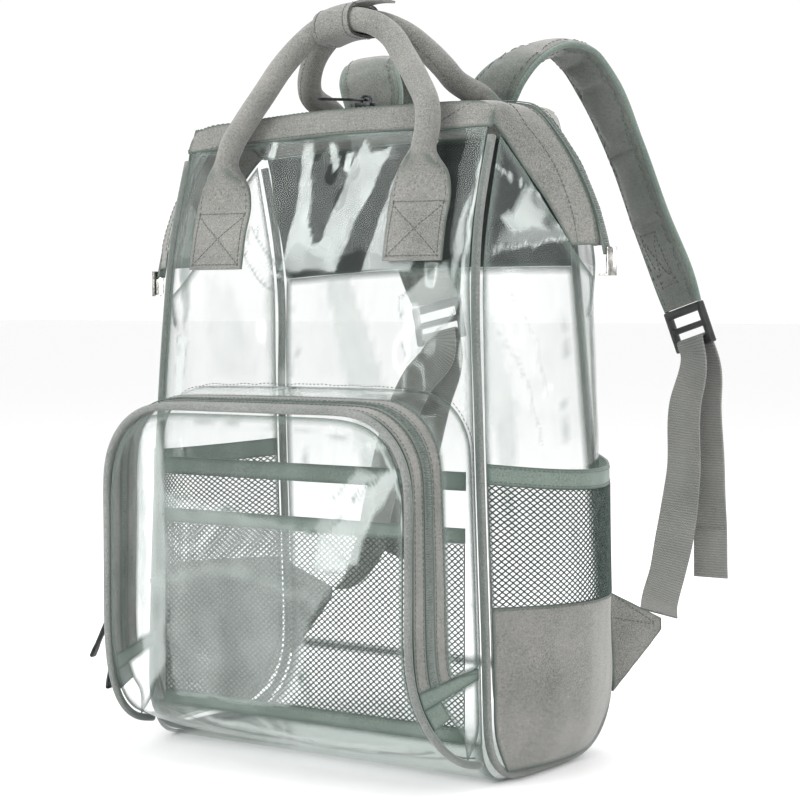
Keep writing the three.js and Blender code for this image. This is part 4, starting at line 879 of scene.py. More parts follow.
POCKET_MARKS = (
    glare(0.8, ((117, 195), (103, 178), (90, 160), (82, 147), (80, 134), (58, 127), (46, 131),
                (52, 147), (70, 160), (84, 176), (99, 187))),
    glare(0.5, ((96, 186), (82, 178), (66, 160), (56, 148), (48, 152), (60, 170), (78, 188))),
    glare(0.28, ((-70, 168), (-20, 160), (56, 148), (74, 132), (54, 112), (42, 97), (38, 58),
                 (28, 46), (-60, 44))),
    glare(0.55, ((-84, 208), (-70, 210), (-66, 120), (-68, 62), (-84, 44), (-88, 110)), 0, 3),
    crease(0.3, ((-92, 204), (-86, 206), (-84, 150), (-82, 96), (-88, 60), (-92, 120)), 0, 3),
    crease(0.45, ((-70, 164), (-58, 160), (-50, 166), (-34, 158), (-20, 163), (-6, 157)), 1.6, 1.4),
    crease(0.4, ((-78, 112), (-60, 116), (-30, 124), (0, 122), (28, 114), (50, 110)), 3, 4),
    crease(0.45, ((-80, 34), (-40, 25), (0, 21), (40, 19), (80, 19), (112, 24)), 1.4, 1.2),
    glare(0.7, ((-40, 30), (0, 27), (50, 24), (96, 24)), 4, 4),
    crease(0.3, ((10, 34), (34, 24), (70, 14)), 1.2, 1.2),
    crease(0.4, ((-90, 214), (-20, 212), (60, 208), (84, 202)), 1.4, 1.6),
    glare(0.9, ((60, 214), (76, 204), (96, 200), (104, 204)), 1.4, 1.2),
    glare(0.7, ((92, 206), (104, 190), (112, 168), (114, 130)), 2.0, 1.8),
)
SIDE_MARKS = (
    glare(1.0, ((-60, 314), (-34, 320), (-12, 325), (14, 331), (40, 334)), 1.3, 1.0),
    glare(1.0, ((-52, 366), (-40, 354), (-30, 343), (-26, 332), (-18, 322)), 1.4, 1.0),
    glare(0.9, ((-54, 334), (-48, 336), (-44, 344), (-40, 352), (-38, 341), (-33, 338), (-38, 332),
                (-34, 326), (-42, 328), (-48, 324))),
    glare(0.9, ((-30, 344), (-27, 336), (-30, 328), (-24, 324)), 1.2, 1.0),
    glare(0.35, ((-60, 316), (-44, 340), (-30, 356), (-34, 330), (-20, 322)), 0, 4),
    crease(0.3, ((-60, 268), (-48, 240), (-40, 200)), 0.9, 0.9),
    crease(0.22, ((-54, 292), (-42, 262), (-38, 230)), 0.9, 0.9),
    crease(0.08, ((-40, 300), (-10, 300), (0, 250), (-6, 200), (-30, 200)), 0, 14),
    glare(0.6, ((40, 300), (46, 300), (52, 250), (56, 196), (50, 196)), 0, 4),
    crease(0.5, ((44, 310), (50, 270), (55, 230), (58, 196)), 1.4, 1.4),
)
BACK_MARKS = (
    glare(0.6, ((-80, 300), (-60, 300), (-30, 220), (-52, 150), (-66, 220)), 0, 5),
    glare(0.5, ((30, 296), (46, 300), (70, 220), (60, 120), (50, 200)), 0, 5),
    crease(0.3, ((-110, 280), (-104, 200), (-112, 120)), 1.4, 1.4),
    crease(0.3, ((108, 280), (104, 180), (112, 90)), 1.4, 1.4),
    crease(0.25, ((-40, 90), (0, 78), (50, 88)), 1.4, 1.6),
)


@dataclass
class ClearShell:
    """The clear sheets of the main compartment and the front pocket."""

    finishes: Finishes
    sheets: dict[str, Object] = field(default_factory=dict)

    def _marked(self, obj: Object, axes: tuple[int, int], marks: Sequence[Patch]) -> None:
        """Paints the marks, as painted reflections and painted shade, and a greener painted shade along the
        edges of a sheet.

        Args:
            obj: the sheet.
            axes: the two axes of the plane that the marks lie in.
            marks: the marks.
        """
        points = coords(obj)
        flat = points[:, list(axes)] / MM
        flat = flat + np.stack([ripple(points, 14 * MM, 3), ripple(points, 14 * MM, 4)], 1) * 0.8
        uneven = 0.85 + 0.15 * ripple(points, 26 * MM, 5)
        broken = bump_step(ripple(points, 22 * MM, 6), -0.6, 0.5)
        layers = {mark: np.zeros(len(points)) for mark in (Mark.GLARE, Mark.CREASE)}
        for patch in marks:
            layers[patch.mark] = np.maximum(layers[patch.mark], patch.on(flat) * uneven)
            # A glare patch gets a broken dark outline: painted shade.
            if patch.mark is Mark.GLARE and not patch.width and patch.soft < 3:
                rim = crease(0.7, (*patch.points, patch.points[0]), 1.0, 1.0).on(flat)
                layers[Mark.CREASE] = np.maximum(layers[Mark.CREASE], rim * broken)
        # Painted shade along the sheet's edges.
        edge = np.exp(-((rim_gap(obj) / (2.3 * MM)) ** 2)) * 0.8
        # Faint painted reflections in streaks.
        glare_wisps = bump_step(ripple(points * [1, 1, 0.35], 30 * MM, 8), 1.5, 2.2) * 0.3
        layers[Mark.GLARE] = np.maximum(layers[Mark.GLARE], glare_wisps)
        layers[Mark.CREASE] = np.maximum(layers[Mark.CREASE], edge)
        for mark, values in layers.items():
            paint(obj, mark, values)

    def _finer_face(self, obj: Object, way: Vector) -> None:
        """Divides the faces of obj that look along way once more."""
        editing(obj, "FACE")
        bpy.ops.object.mode_set(mode="OBJECT")
        for polygon in obj.data.polygons:
            polygon.select = polygon.normal.dot(way) > 0.7
        bpy.ops.object.mode_set(mode="EDIT")
        bpy.ops.mesh.subdivide(number_cuts=1)
        edited()

    def _sheet(self, node: str, levels: int, way: Field, axes: tuple[int, int], marks: Sequence[Patch],
               seam: Field, amount: float, thick: bool = False) -> Object:
        """Makes one clear sheet with soft waves and marks.

        Args:
            node: the CAD node.
            levels: how often its faces are divided.
            way: unit direction of the waves at each point.
            axes: plane of the marks.
            marks: the marks.
            seam: distance from the sewn edge, in millimetres, at each point.
            amount: height of the waves, in metres.
            thick: whether it is the stiff base sheet.

        Returns:
            The sheet.
        """
        obj = refine(copy_of(node, node.replace("panel", "sheet") + "_film"), levels)
        if node in ("front_panel", "side_panel_right", "pocket_face"):
            self._finer_face(obj, Vector(way(np.zeros((1, 3)))[0]))
        points = coords(obj)
        inner = bump_step(seam(points), 2, 26)
        waves = ripple(points * [1, 1, 0.45], 70 * MM, 11) * 0.7
        waves += ripple(points * [1, 1, 0.6], 24 * MM, 12) * 0.2
        height = waves * amount * inner
        flat = points[:, list(axes)] / MM
        for patch in marks:
            if patch.width:
                height += 0.5 * MM * patch.on(flat) * inner
        move_to(obj, points + way(points) * height[:, None])
        self._marked(obj, axes, marks)
        finish = self.finishes.thick_film if thick else self.finishes.film
        self.sheets[node] = dress(smooth(obj), finish, [node])
        return obj

    def build(self) -> None:
        """Builds every clear sheet."""
        front = lambda p: np.tile([0.0, -1.0, 0.0], (len(p), 1))

        def frame_edge(low: float) -> Field:
            """Distance from the sides and the lower edge of an upright sheet."""
            def gap(p: Array) -> Array:
                """That distance at points."""
                half = np.interp(p[:, 2] / MM, [0, 128, 202, 305, 388], [130, 127, 122, 116, 114.5])
                return np.minimum(half - np.abs(p[:, 0] / MM), np.maximum(p[:, 2] / MM - low, 0) + 0.6)
            return gap

        self._sheet("front_panel", 4, front, (0, 2), FRONT_MARKS, frame_edge(25), 1.3 * MM)
        self._sheet("back_panel", 3, front, (0, 2), BACK_MARKS, frame_edge(45), 1.6 * MM)
        self._sheet("base_panel", 3, lambda p: np.tile([0.0, 0.0, 1.0], (len(p), 1)), (0, 1), (),
                    lambda p: 128 - np.abs(p[:, 0] / MM), 0.0, True)
        for side in Side:
            node = f"side_panel_{side.word}"

            def gap(p: Array) -> Array:
                """Distance from the front and back edges of a side."""
                z = p[:, 2] / MM
                back = np.interp(z, [0, 45, 202, 305, 388], [40, 68, 54, 48, 26])
                ahead = np.interp(z, [0, 25, 300, 388], [-56, -69, -66, -44])
                return np.minimum(p[:, 1] / MM - ahead, back - p[:, 1] / MM)

            out = lambda p, s=side.value: np.tile([float(s), 0.0, 0.0], (len(p), 1))
            self._sheet(node, 3, out, (1, 2), SIDE_MARKS, gap, 1.1 * MM)
        self._sheet("pocket_face", 3, front, (0, 2), POCKET_MARKS,
                    lambda p: np.minimum(111 - np.abs(p[:, 0] / MM), 217 - p[:, 2] / MM), 1.0 * MM)
        radial = lambda p: np.stack([np.sign(p[:, 0]) * (np.abs(p[:, 0]) > 0.1), np.zeros(len(p)),
                                     (np.abs(p[:, 0]) <= 0.1).astype(float)], 1)
        self._sheet("pocket_gusset", 3, radial, (1, 2), (),
                    lambda p: np.minimum(p[:, 1] / MM + 101, -73 - p[:, 1] / MM) * 0.8, 0.6 * MM)
        for side in Side:
            self._sheet(f"pocket_foot_{side.word}", 3, radial, (1, 2), (),
                        lambda p: p[:, 1] / MM + 107, 0.0)


@dataclass
class Trim:
    """The fabric of the body: yoke, pipings and the collar round the mouth."""

    finishes: Finishes
    needle: Needle
    pieces: dict[str, Object] = field(default_factory=dict)

    def soft(self, node: str, levels: int, material: bpy.types.Material, slot: str, amount: float = 0.0,
             way: Sequence[float] = (0, 0, 0), length: float = 30 * MM, sharp: float = SHARP) -> Object:
        """Makes a cloth piece from its CAD sheet.

        Args:
            node: the CAD node.
            levels: how often its faces are divided.
            material: its finish.
            slot: name of a slot; not used.
            amount: height of its waves.
            way: direction of the waves.
            length: length of the waves.
            sharp: edges bent by more than this stay sharp.

        Returns:
            The piece.
        """
        obj = refine(copy_of(node, node + "_cloth"), levels, sharp)
        if amount:
            points = coords(obj)
            waves = ripple(points, length, 21) * 0.8 + ripple(points, length * 0.3, 22) * 0.25
            move_to(obj, points + np.array(way) * (waves * amount)[:, None])
        # Painted shade along the cut edges.
        shade_rim(obj, sharp)
        self.pieces[node] = dress(smooth(obj), material, [node])
        return obj

    def cord(self, node: str, material: bpy.types.Material) -> Object:
        """Makes a round piping from its CAD tube."""
        obj = refine(copy_of(node, node + "_cord"), 2, 80)
        # Painted shade: the flanks of the piping, picked by which way they face, are painted darker.
        normals = np.array([v.normal for v in obj.data.vertices])
        flank = np.abs(normals[:, 1]) if node.startswith("side") else 1 - np.abs(normals[:, 1])
        paint(obj, Mark.EDGE, bump_step(flank, 0.55, 0.95) * 0.6)
        self.pieces[node] = dress(smooth(obj, 60), material, [node])
        return obj

    def collar(self, node: str, toward: int) -> None:
        """Makes one half of the collar with its seams.

        Args:
            node: the CAD node.
            toward: -1 for the front, 1 for the back.
        """
        obj = self.soft(node, 3, self.finishes.fabric, "grey_fabric", 0.45 * MM, (0.3, 0.6, 0.7),
                        34 * MM, 60)
        rows = rings(node, 8, lambda p: p[2] if p[0] > 0 else 9)
        grid = []
        for row in rows:
            ordered = row[np.argsort(toward * row[:, 1])]
            grid.append([ordered[2 * k:2 * k + 2].mean(0) for k in range(4)])
        grid = np.array(grid)
        high = Vector((0, 0.25 * toward, 1))
        seams = []
        for share, k in ((0.86, 1), (0.2, 0)):
            line = grid[:, k] * (1 - share) + grid[:, k + 1] * share
            seams.append((line, high))
        hem = grid[:, 3] * 0.86 + grid[:, 2] * 0.14
        middle = [i for i in range(len(grid)) if abs(grid[i, 3, 0]) < 0.118]
        seams.append((hem[middle], Vector((0, toward, 0))))
        self.needle.sew(f"{node}_stitching", seams, [obj], self.finishes.thread)

    def build(self) -> None:
        """Builds the trim."""
        f = self.finishes
        # The yoke is made in the darker copy of the fabric: painted shade.
        yoke = self.soft("back_yoke", 3, f.lining, "grey_fabric", 0.5 * MM, (0, 1, 0))
        for side in Side:
            self.cord(f"side_piping_{side.word}", f.piping)
        self.cord("pocket_piping", f.piping)
        self.collar("collar_front", -1)
        self.collar("collar_back", 1)
        half, y, z = 0.110, 0.053, 0.3105
        hem = np.array([[x, y, z] for x in np.linspace(-half, half, 12)])
        self.needle.sew("yoke_stitching", [(hem, Vector((0, 1, 0)))], [yoke], f.thread)


@dataclass
class Zips:
    """Zip tapes, coils with their teeth, sliders, pulls and end clips."""

    finishes: Finishes
    needle: Needle
    trim: Trim
    tooth_pitch: float = 1.45 * MM

    def _tooth(self, span: float) -> tuple[Array, list[list[int]]]:
        """Models one coil tooth along X with tapered ends.

        Args:
            span: its length.

        Returns:
            Its corners and faces.
        """
        bpy.ops.object.select_all(action="DESELECT")
        bpy.ops.mesh.primitive_cylinder_add(vertices=5, radius=0.46 * MM, depth=span,
                                            rotation=(0, math.pi / 2, 0))
        tooth = bpy.context.active_object
        bpy.ops.object.transform_apply(location=True, rotation=True, scale=True)
        bevelled(tooth, 0.3 * MM, 1)
        result = coords(tooth), [list(p.vertices) for p in tooth.data.polygons]
        bpy.data.objects.remove(tooth)
        return result

    def teeth(self, name: str, band: Band, span: float, lift: float) -> Object:
        """Lays teeth along a coil's middle line, at a height over it.

        Args:
            name: name of the piece.
            band: the coil's band.
            span: width of the teeth.
            lift: height over the band's middle.

        Returns:
            The piece.
        """
        corners, shape = self._tooth(span)
        fine = band.finer(self.tooth_pitch)
        way = np.gradient(fine.centre, axis=0)
        points, faces = [], []
        for i, (c, a, n, w) in enumerate(zip(fine.centre, fine.across, fine.normal, way)):
            turn = np.array([a, w / np.linalg.norm(w), n])
            faces += [[k + len(points) * len(corners) for k in f] for f in shape]
            shift = a * (0.35 * MM if i % 2 else -0.35 * MM)
            points.append(corners @ turn + c + n * lift + shift)
        obj = solid(name, np.concatenate(points), faces)
        return dress(smooth(obj, 60), self.finishes.coil, [])

    def pocket(self) -> None:
        """Builds the front pocket's zip, its tabs and legs, and their seams."""
        f, trim = self.finishes, self.trim
        start = lambda p: p[2] if p[0] > 0 else 9
        seams = []
        for node in ("pocket_tape_outer", "pocket_tape_inner"):
            tape = trim.soft(node, 3, f.fabric, "grey_fabric")
            band = Band.of(rings(node, 4, start))
            for share in (-0.68, 0.68):
                line = band.line(share, 0.0)
                half = len(line) // 2
                for part in (line[: half + 1], line[half:]):
                    seams.append((part, None))
        rows = []
        for line, _ in seams:
            for i in range(0, len(line) - 1, 3):
                piece = line[i:i + 4]
                if len(piece) < 2:
                    continue
                mid = piece.mean(0)
                rows.append((piece, Vector((mid[0], 0, max(mid[2] - 0.17, 0.0) + 1e-4))))
        cloth = [trim.pieces["pocket_tape_outer"], trim.pieces["pocket_tape_inner"]]
        self.needle.sew("pocket_tape_stitching", rows, cloth, f.thread, 3.2 * MM, 0.8)
        trim.soft("pocket_coil", 2, f.tape, "zip_coil")
        band = Band.of(rings("pocket_coil", 4, start))
        for word, lift in (("outer", 1.25), ("inner", -1.25)):
            self.teeth(f"pocket_coil_teeth_{word}", band, 4.6 * MM, lift * MM)
        for side in Side:
            for node in (f"pocket_tab_{side.word}", f"pocket_leg_{side.word}"):
                strip = trim.soft(node, 3, f.binding, "grey_fabric", 0.15 * MM, (1, 0, 0), 12 * MM)
            node = f"pocket_tab_{side.word}"
            low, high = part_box(node)
            x, z = (high if side is Side.RIGHT else low)[0], high[2] - 0.003
            row = np.array([[x, low[1] + 0.004, z], [x, high[1] - 0.004, z]])
            self.needle.sew(f"pocket_tab_stitching_{side.word}", [(row, Vector((side.value, 0, 0)))],
                            [trim.pieces[node]], f.thread, 2.8 * MM, 0.9)

    def mouth(self) -> None:
        """Builds the mouth's zip and its end clips."""
        f, trim = self.finishes, self.trim
        trim.soft("mouth_coil", 2, f.tape, "zip_coil")
        band = Band.of(rings("mouth_coil", 4, lambda p: p[2] if p[0] > 0 else 9))
        for word, lift in (("outer", 1.2), ("inner", -1.2)):
            self.teeth(f"mouth_coil_teeth_{word}", band, 4.2 * MM, lift * MM)
        for side in Side:
            node = f"end_clip_{side.word}"
            clip = bevelled(copy_of(node, node + "_cap"), 0.35 * MM, 3)
            dress(smooth(clip, 35), f.chrome, [node])

    def metal(self) -> None:
        """Builds the sliders and their pulls."""
        for word in ("mouth", "pocket_upper", "pocket_lower"):
            for part, body in (("slider", BAG), ("pull", f"{word}_pull")):
                node = f"{word}_{part}"
                obj = smooth(bevelled(copy_of(node, node + "_metal"), 0.28 * MM, 2), 35)
                dress(obj, self.finishes.gunmetal, [node], body)

    def build(self) -> None:
        """Builds all the zips."""
        self.mouth()
        self.pocket()
        self.metal()


@dataclass
class Nets:
    """Fine diamond nets with real openings, laid on a surface."""

    finishes: Finishes
    pitch: float = 4.4 * MM
    cord: float = 1.3 * MM

    def lay(self, name: str, width: float, height: float, place: Callable[[Array, Array], Array],
            node: str) -> Object:
        """Models a net flat and lays it on a surface.

        Args:
            name: name of the piece.
            width: width of the cloth.
            height: height of the cloth.
            place: points of the surface at shares across and up.
            node: CAD node that it stands for.

        Returns:
            The net.
        """
        columns, rows = round(width / self.pitch), round(height / (0.8 * self.pitch))
        bpy.ops.object.select_all(action="DESELECT")
        bpy.ops.mesh.primitive_grid_add(x_subdivisions=columns, y_subdivisions=rows, size=1)
        obj = bpy.context.active_object
        obj.name = obj.data.name = name
        obj.scale = (width, height, 1)
        bpy.ops.object.transform_apply(location=True, rotation=True, scale=True)
        bpy.ops.object.mode_set(mode="EDIT")
        bpy.ops.mesh.select_all(action="SELECT")
        bpy.ops.mesh.poke()
        bpy.ops.object.mode_set(mode="OBJECT")
        editing(obj, "EDGE")
        bpy.ops.object.mode_set(mode="OBJECT")
        flat = coords(obj)
        for edge in obj.data.edges:
            way = flat[edge.vertices[1]] - flat[edge.vertices[0]]
            mid = (flat[edge.vertices[0]] + flat[edge.vertices[1]]) / 2
            rim = abs(mid[0]) > width / 2 - 1e-6 or abs(mid[1]) > height / 2 - 1e-6
            edge.select = min(abs(way[0]), abs(way[1])) < 1e-6 and not rim
        bpy.ops.object.mode_set(mode="EDIT")
        bpy.ops.mesh.dissolve_edges(use_verts=False)
        edited()
        choose(obj)
        strands = obj.modifiers.new("strands", "WIREFRAME")
        strands.thickness = self.cord
        strands.use_even_offset = False
        strands.use_boundary = True
        bpy.ops.object.modifier_apply(modifier=strands.name)
        flat = coords(obj)
        u = np.clip(flat[:, 0] / width + 0.5, 0, 1)
        v = np.clip(flat[:, 1] / height + 0.5, 0, 1)
        base = place(u, v)
        step = 0.004
        right = place(np.clip(u + step, 0, 1), v) - place(np.clip(u - step, 0, 1), v)
        up = place(u, np.clip(v + step, 0, 1)) - place(u, np.clip(v - step, 0, 1))
        normal = np.cross(right, up)
        normal /= np.linalg.norm(normal, axis=1)[:, None]
        move_to(obj, base + normal * flat[:, 2:3])
        outward(obj)
        return dress(smooth(obj, 50), self.finishes.net, [node])


def upper_edge(node: str) -> Array:
    """Middle line of the level upper edge of a CAD sheet that runs along Y."""
    obj = copy_of(node, "edge")
    points = coords(obj)
    bpy.data.objects.remove(obj)
    top = points[points[:, 2] > points[:, 2].max() - 1.2 * MM]
    top = top[np.argsort(top[:, 1])]
    return (top[0::2] + top[1::2]) / 2


def band_edges(node: str) -> tuple[Array, Array]:
    """Lower and upper edge lines of a CAD band that runs along Y."""
    ranked = [s[np.argsort(s[:, 2])] for s in rings(node, 4, lambda p: p[1])]
    return np.array([s[:2].mean(0) for s in ranked]), np.array([s[2:].mean(0) for s in ranked])


@dataclass
class Pockets:
    """The organiser behind the front pocket and the mesh pockets on the sides."""

    finishes: Finishes
    needle: Needle
    trim: Trim
    nets: Nets

    def organiser(self) -> None:
        """Builds the organiser's bindings and net."""
        f, trim = self.finishes, self.trim
        bands = []
        for node in ("organiser_binding_bottom", "organiser_binding_top", "organiser_slip_band"):
            bands.append(trim.soft(node, 3, f.binding, "mesh_binding", 0.2 * MM, (0, 1, 0), 26 * MM))
        low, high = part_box("organiser_net")
        y = (low[1] + high[1]) / 2

        def place(u: Array, v: Array) -> Array:
            """A point of the organiser's net."""
            z = low[2] + v * (high[2] - low[2])
            return np.stack([low[0] + u * (high[0] - low[0]), np.full(len(u), y), z], 1)

        self.nets.lay("organiser_net_cords", high[0] - low[0], high[2] - low[2], place, "organiser_net")
        rows = []
        for node in ("organiser_binding_bottom", "organiser_binding_top", "organiser_slip_band"):
            a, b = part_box(node)
            for z in (a[2] + 0.0016, b[2] - 0.0016):
                row = np.array([[a[0] + 0.003, a[1], z], [b[0] - 0.003, a[1], z]])
                rows.append((row, Vector((0, -1, 0))))
        self.needle.sew("organiser_stitching", rows, bands, f.thread, 3.0 * MM, 0.7)

    def side(self, side: Side) -> None:
        """Builds one side pocket.

        Args:
            side: which side.
        """
        f, trim = self.finishes, self.trim
        cloth = trim.soft(f"side_fabric_{side.word}", 3, f.fabric, "grey_fabric")
        points = coords(cloth)
        height = points[:, 2] / MM
        inner = bump_step(60 - np.abs(points[:, 1] / MM), 0, 18) * bump_step(height, 8, 24)
        inner = inner * bump_step(106 - height, 0, 12)
        waves = ripple(points * [1, 1, 0.5], 46 * MM, 31) * 0.9 + ripple(points, 16 * MM, 32) * 0.15
        move_to(cloth, points + np.array([side.value, 0, 0]) * (waves * inner * 0.9 * MM)[:, None])
        band = trim.soft(f"side_binding_{side.word}", 3, f.binding, "mesh_binding")
        points = coords(band)
        gather = np.sin(points[:, 1] / (2.6 * MM) + 1.4 * ripple(points, 40 * MM, 33)) * 0.16 * MM
        move_to(band, points + np.array([side.value, 0, 0]) * gather[:, None])

        lower = upper_edge(f"side_fabric_{side.word}")
        upper, top = band_edges(f"side_binding_{side.word}")

        def place(u: Array, v: Array) -> Array:
            """A point of the side net."""
            ends = [through(np.linspace(0, 1, len(row)), row, u) for row in (lower, upper)]
            return ends[0] + (ends[1] - ends[0]) * v[:, None]

        width = lengths(lower)[-1]
        height = float(np.mean(upper[:, 2]) - np.mean(lower[:, 2]))
        self.nets.lay(f"side_net_{side.word}_cords", width, height, place, f"side_net_{side.word}")
        away = Vector((side.value, 0, 0))
        rows = [(lower - [0, 0, 0.0018], away), (upper + [0, 0, 0.0018], away)]
        rows.append((top - [0, 0, 0.0018], away))
        self.needle.sew(f"side_pocket_stitching_{side.word}", rows, [cloth, band], f.thread,
                        3.0 * MM, 0.8)

    def build(self) -> None:
        """Builds all the pockets."""
        self.organiser()
        for side in Side:
            self.side(side)


@dataclass
class Handles:
    """The two grab handles and the wrap that holds them together."""

    finishes: Finishes
    needle: Needle
    sides: int = 40
    fill: float = 0.9

    def handle(self, node: str, toward: int, tab_x: float) -> Object:
        """Builds a handle with gathers where its flat tab turns into the grip.

        Args:
            node: the CAD node.
            toward: -1 for the front, 1 for the back.
            tab_x: distance of its tabs from the middle.

        Returns:
            The handle.
        """
        sections = rings(node, 10, lambda p: p[2] if p[0] > 0 else 9)
        band = Band.of(sections, Vector((0, 1, 0))).finer(2.2 * MM)
        turn = np.linspace(0, 2 * math.pi, self.sides, endpoint=False) + math.pi / self.sides
        rounds, shades = [], []
        for i, (c, a, n, w, t) in enumerate(band.stations()):
            roundness = float(np.clip((t / w - 0.06) / 0.9, 0, 1))
            power = 1 - 0.55 * (1 - roundness)
            gather = 4 * roundness * (1 - roundness)
            fold = 1 + 0.10 * gather * np.cos(5 * turn + 0.05 * i)
            fold = fold + 0.05 * gather * np.cos(9 * turn - 0.11 * i)
            fold = fold + 0.012 * np.cos(3 * turn + 0.16 * i) * roundness
            cos, sin = np.cos(turn), np.sin(turn)
            x = w / 2 * np.sign(cos) * np.abs(cos) ** power
            y = t / 2 * np.sign(sin) * np.abs(sin) ** power * fold
            crease = 0.35 * MM * roundness * np.exp(-((np.abs(turn - math.pi) / 0.16) ** 2))
            x = x * (1 - 0.02 * gather) + crease
            rounds.append(c + np.outer(x, a) + np.outer(y, n))
            # Painted shade in the gathers' pleats and along the flat tab's edges.
            pleat_shade = gather * (0.5 - 0.5 * np.cos(5 * turn + 0.05 * i)) * 0.75
            rim = np.exp(-(((1 - np.abs(x) / (w / 2)) / 0.05) ** 2)) * (1 - roundness)
            shades.append(np.maximum(pleat_shade, rim * 0.8))
        obj = smooth(skin(node + "_cloth", rounds), 70)
        paint(obj, Mark.EDGE, np.concatenate([*shades, [0.8, 0.8]]))
        dress(obj, self.finishes.fabric, [node])
        face = Vector((0, toward, 0))
        lean = 0.004 if toward < 0 else -0.006
        rows = []
        for side in Side:
            sag = 3.8 * MM if side is Side.LEFT else 0.0
            x, half, low, high = side.value * tab_x, 18.5 * MM, 0.3125 - sag, 0.3465 - sag
            y = band.centre[0, 1] + toward * 2 * MM
            a, b, c, d = ((x - half, low), (x + half, low), (x + half, high), (x - half, high))
            for (x0, z0), (x1, z1) in ((a, b), (b, c), (c, d), (d, a), (a, c), (b, d)):
                y0 = np.interp(z0, [0.31, 0.35], [y, y + lean])
                rows.append((np.array([[x0, y0, z0], [x1, y0, z1]]), face))
            for edge in (-1, 1):
                line = [[x + edge * 19.2 * MM, y, z - sag] for z in (0.3475, 0.356, 0.366)]
                rows.append((np.array(line), face))
        self.needle.sew(node + "_stitching", rows, [obj], self.finishes.thread, 2.9 * MM, 0.9)
        inner = band.line(0.0, -1.0 * MM * toward)
        middle = inner[len(inner) // 4: 3 * len(inner) // 4]
        self.needle.sew(node + "_seam", [(middle, -face)], [obj], self.finishes.thread, 3.4 * MM, 0.8)
        return obj

    def build(self) -> None:
        """Builds both handles and the wrap."""
        self.handle("handle_front", -1, 0.076)
        self.handle("handle_back", 1, 0.0608)
        wrap = refine(copy_of("handle_wrap", "handle_wrap_cloth"), 2, 60)
        dress(smooth(wrap, 50), self.finishes.fabric, ["handle_wrap"])
        rows = []
        y, z = -0.0258, 0.4595
        turn = np.linspace(0, 2 * math.pi, 30)
        for x in (-0.0178, 0.0038):
            ring = np.stack([np.full(len(turn), x), y + 0.0186 * np.cos(turn),
                             z + 0.0108 * np.sin(turn)], 1)
            for k in range(0, len(turn) - 1, 3):
                part = ring[k:k + 4]
                rows.append((part, Vector((0, part[:, 1].mean() - y, part[:, 2].mean() - z))))
        self.needle.sew("handle_wrap_stitching", rows, [wrap], self.finishes.thread, 2.8 * MM, 0.8)


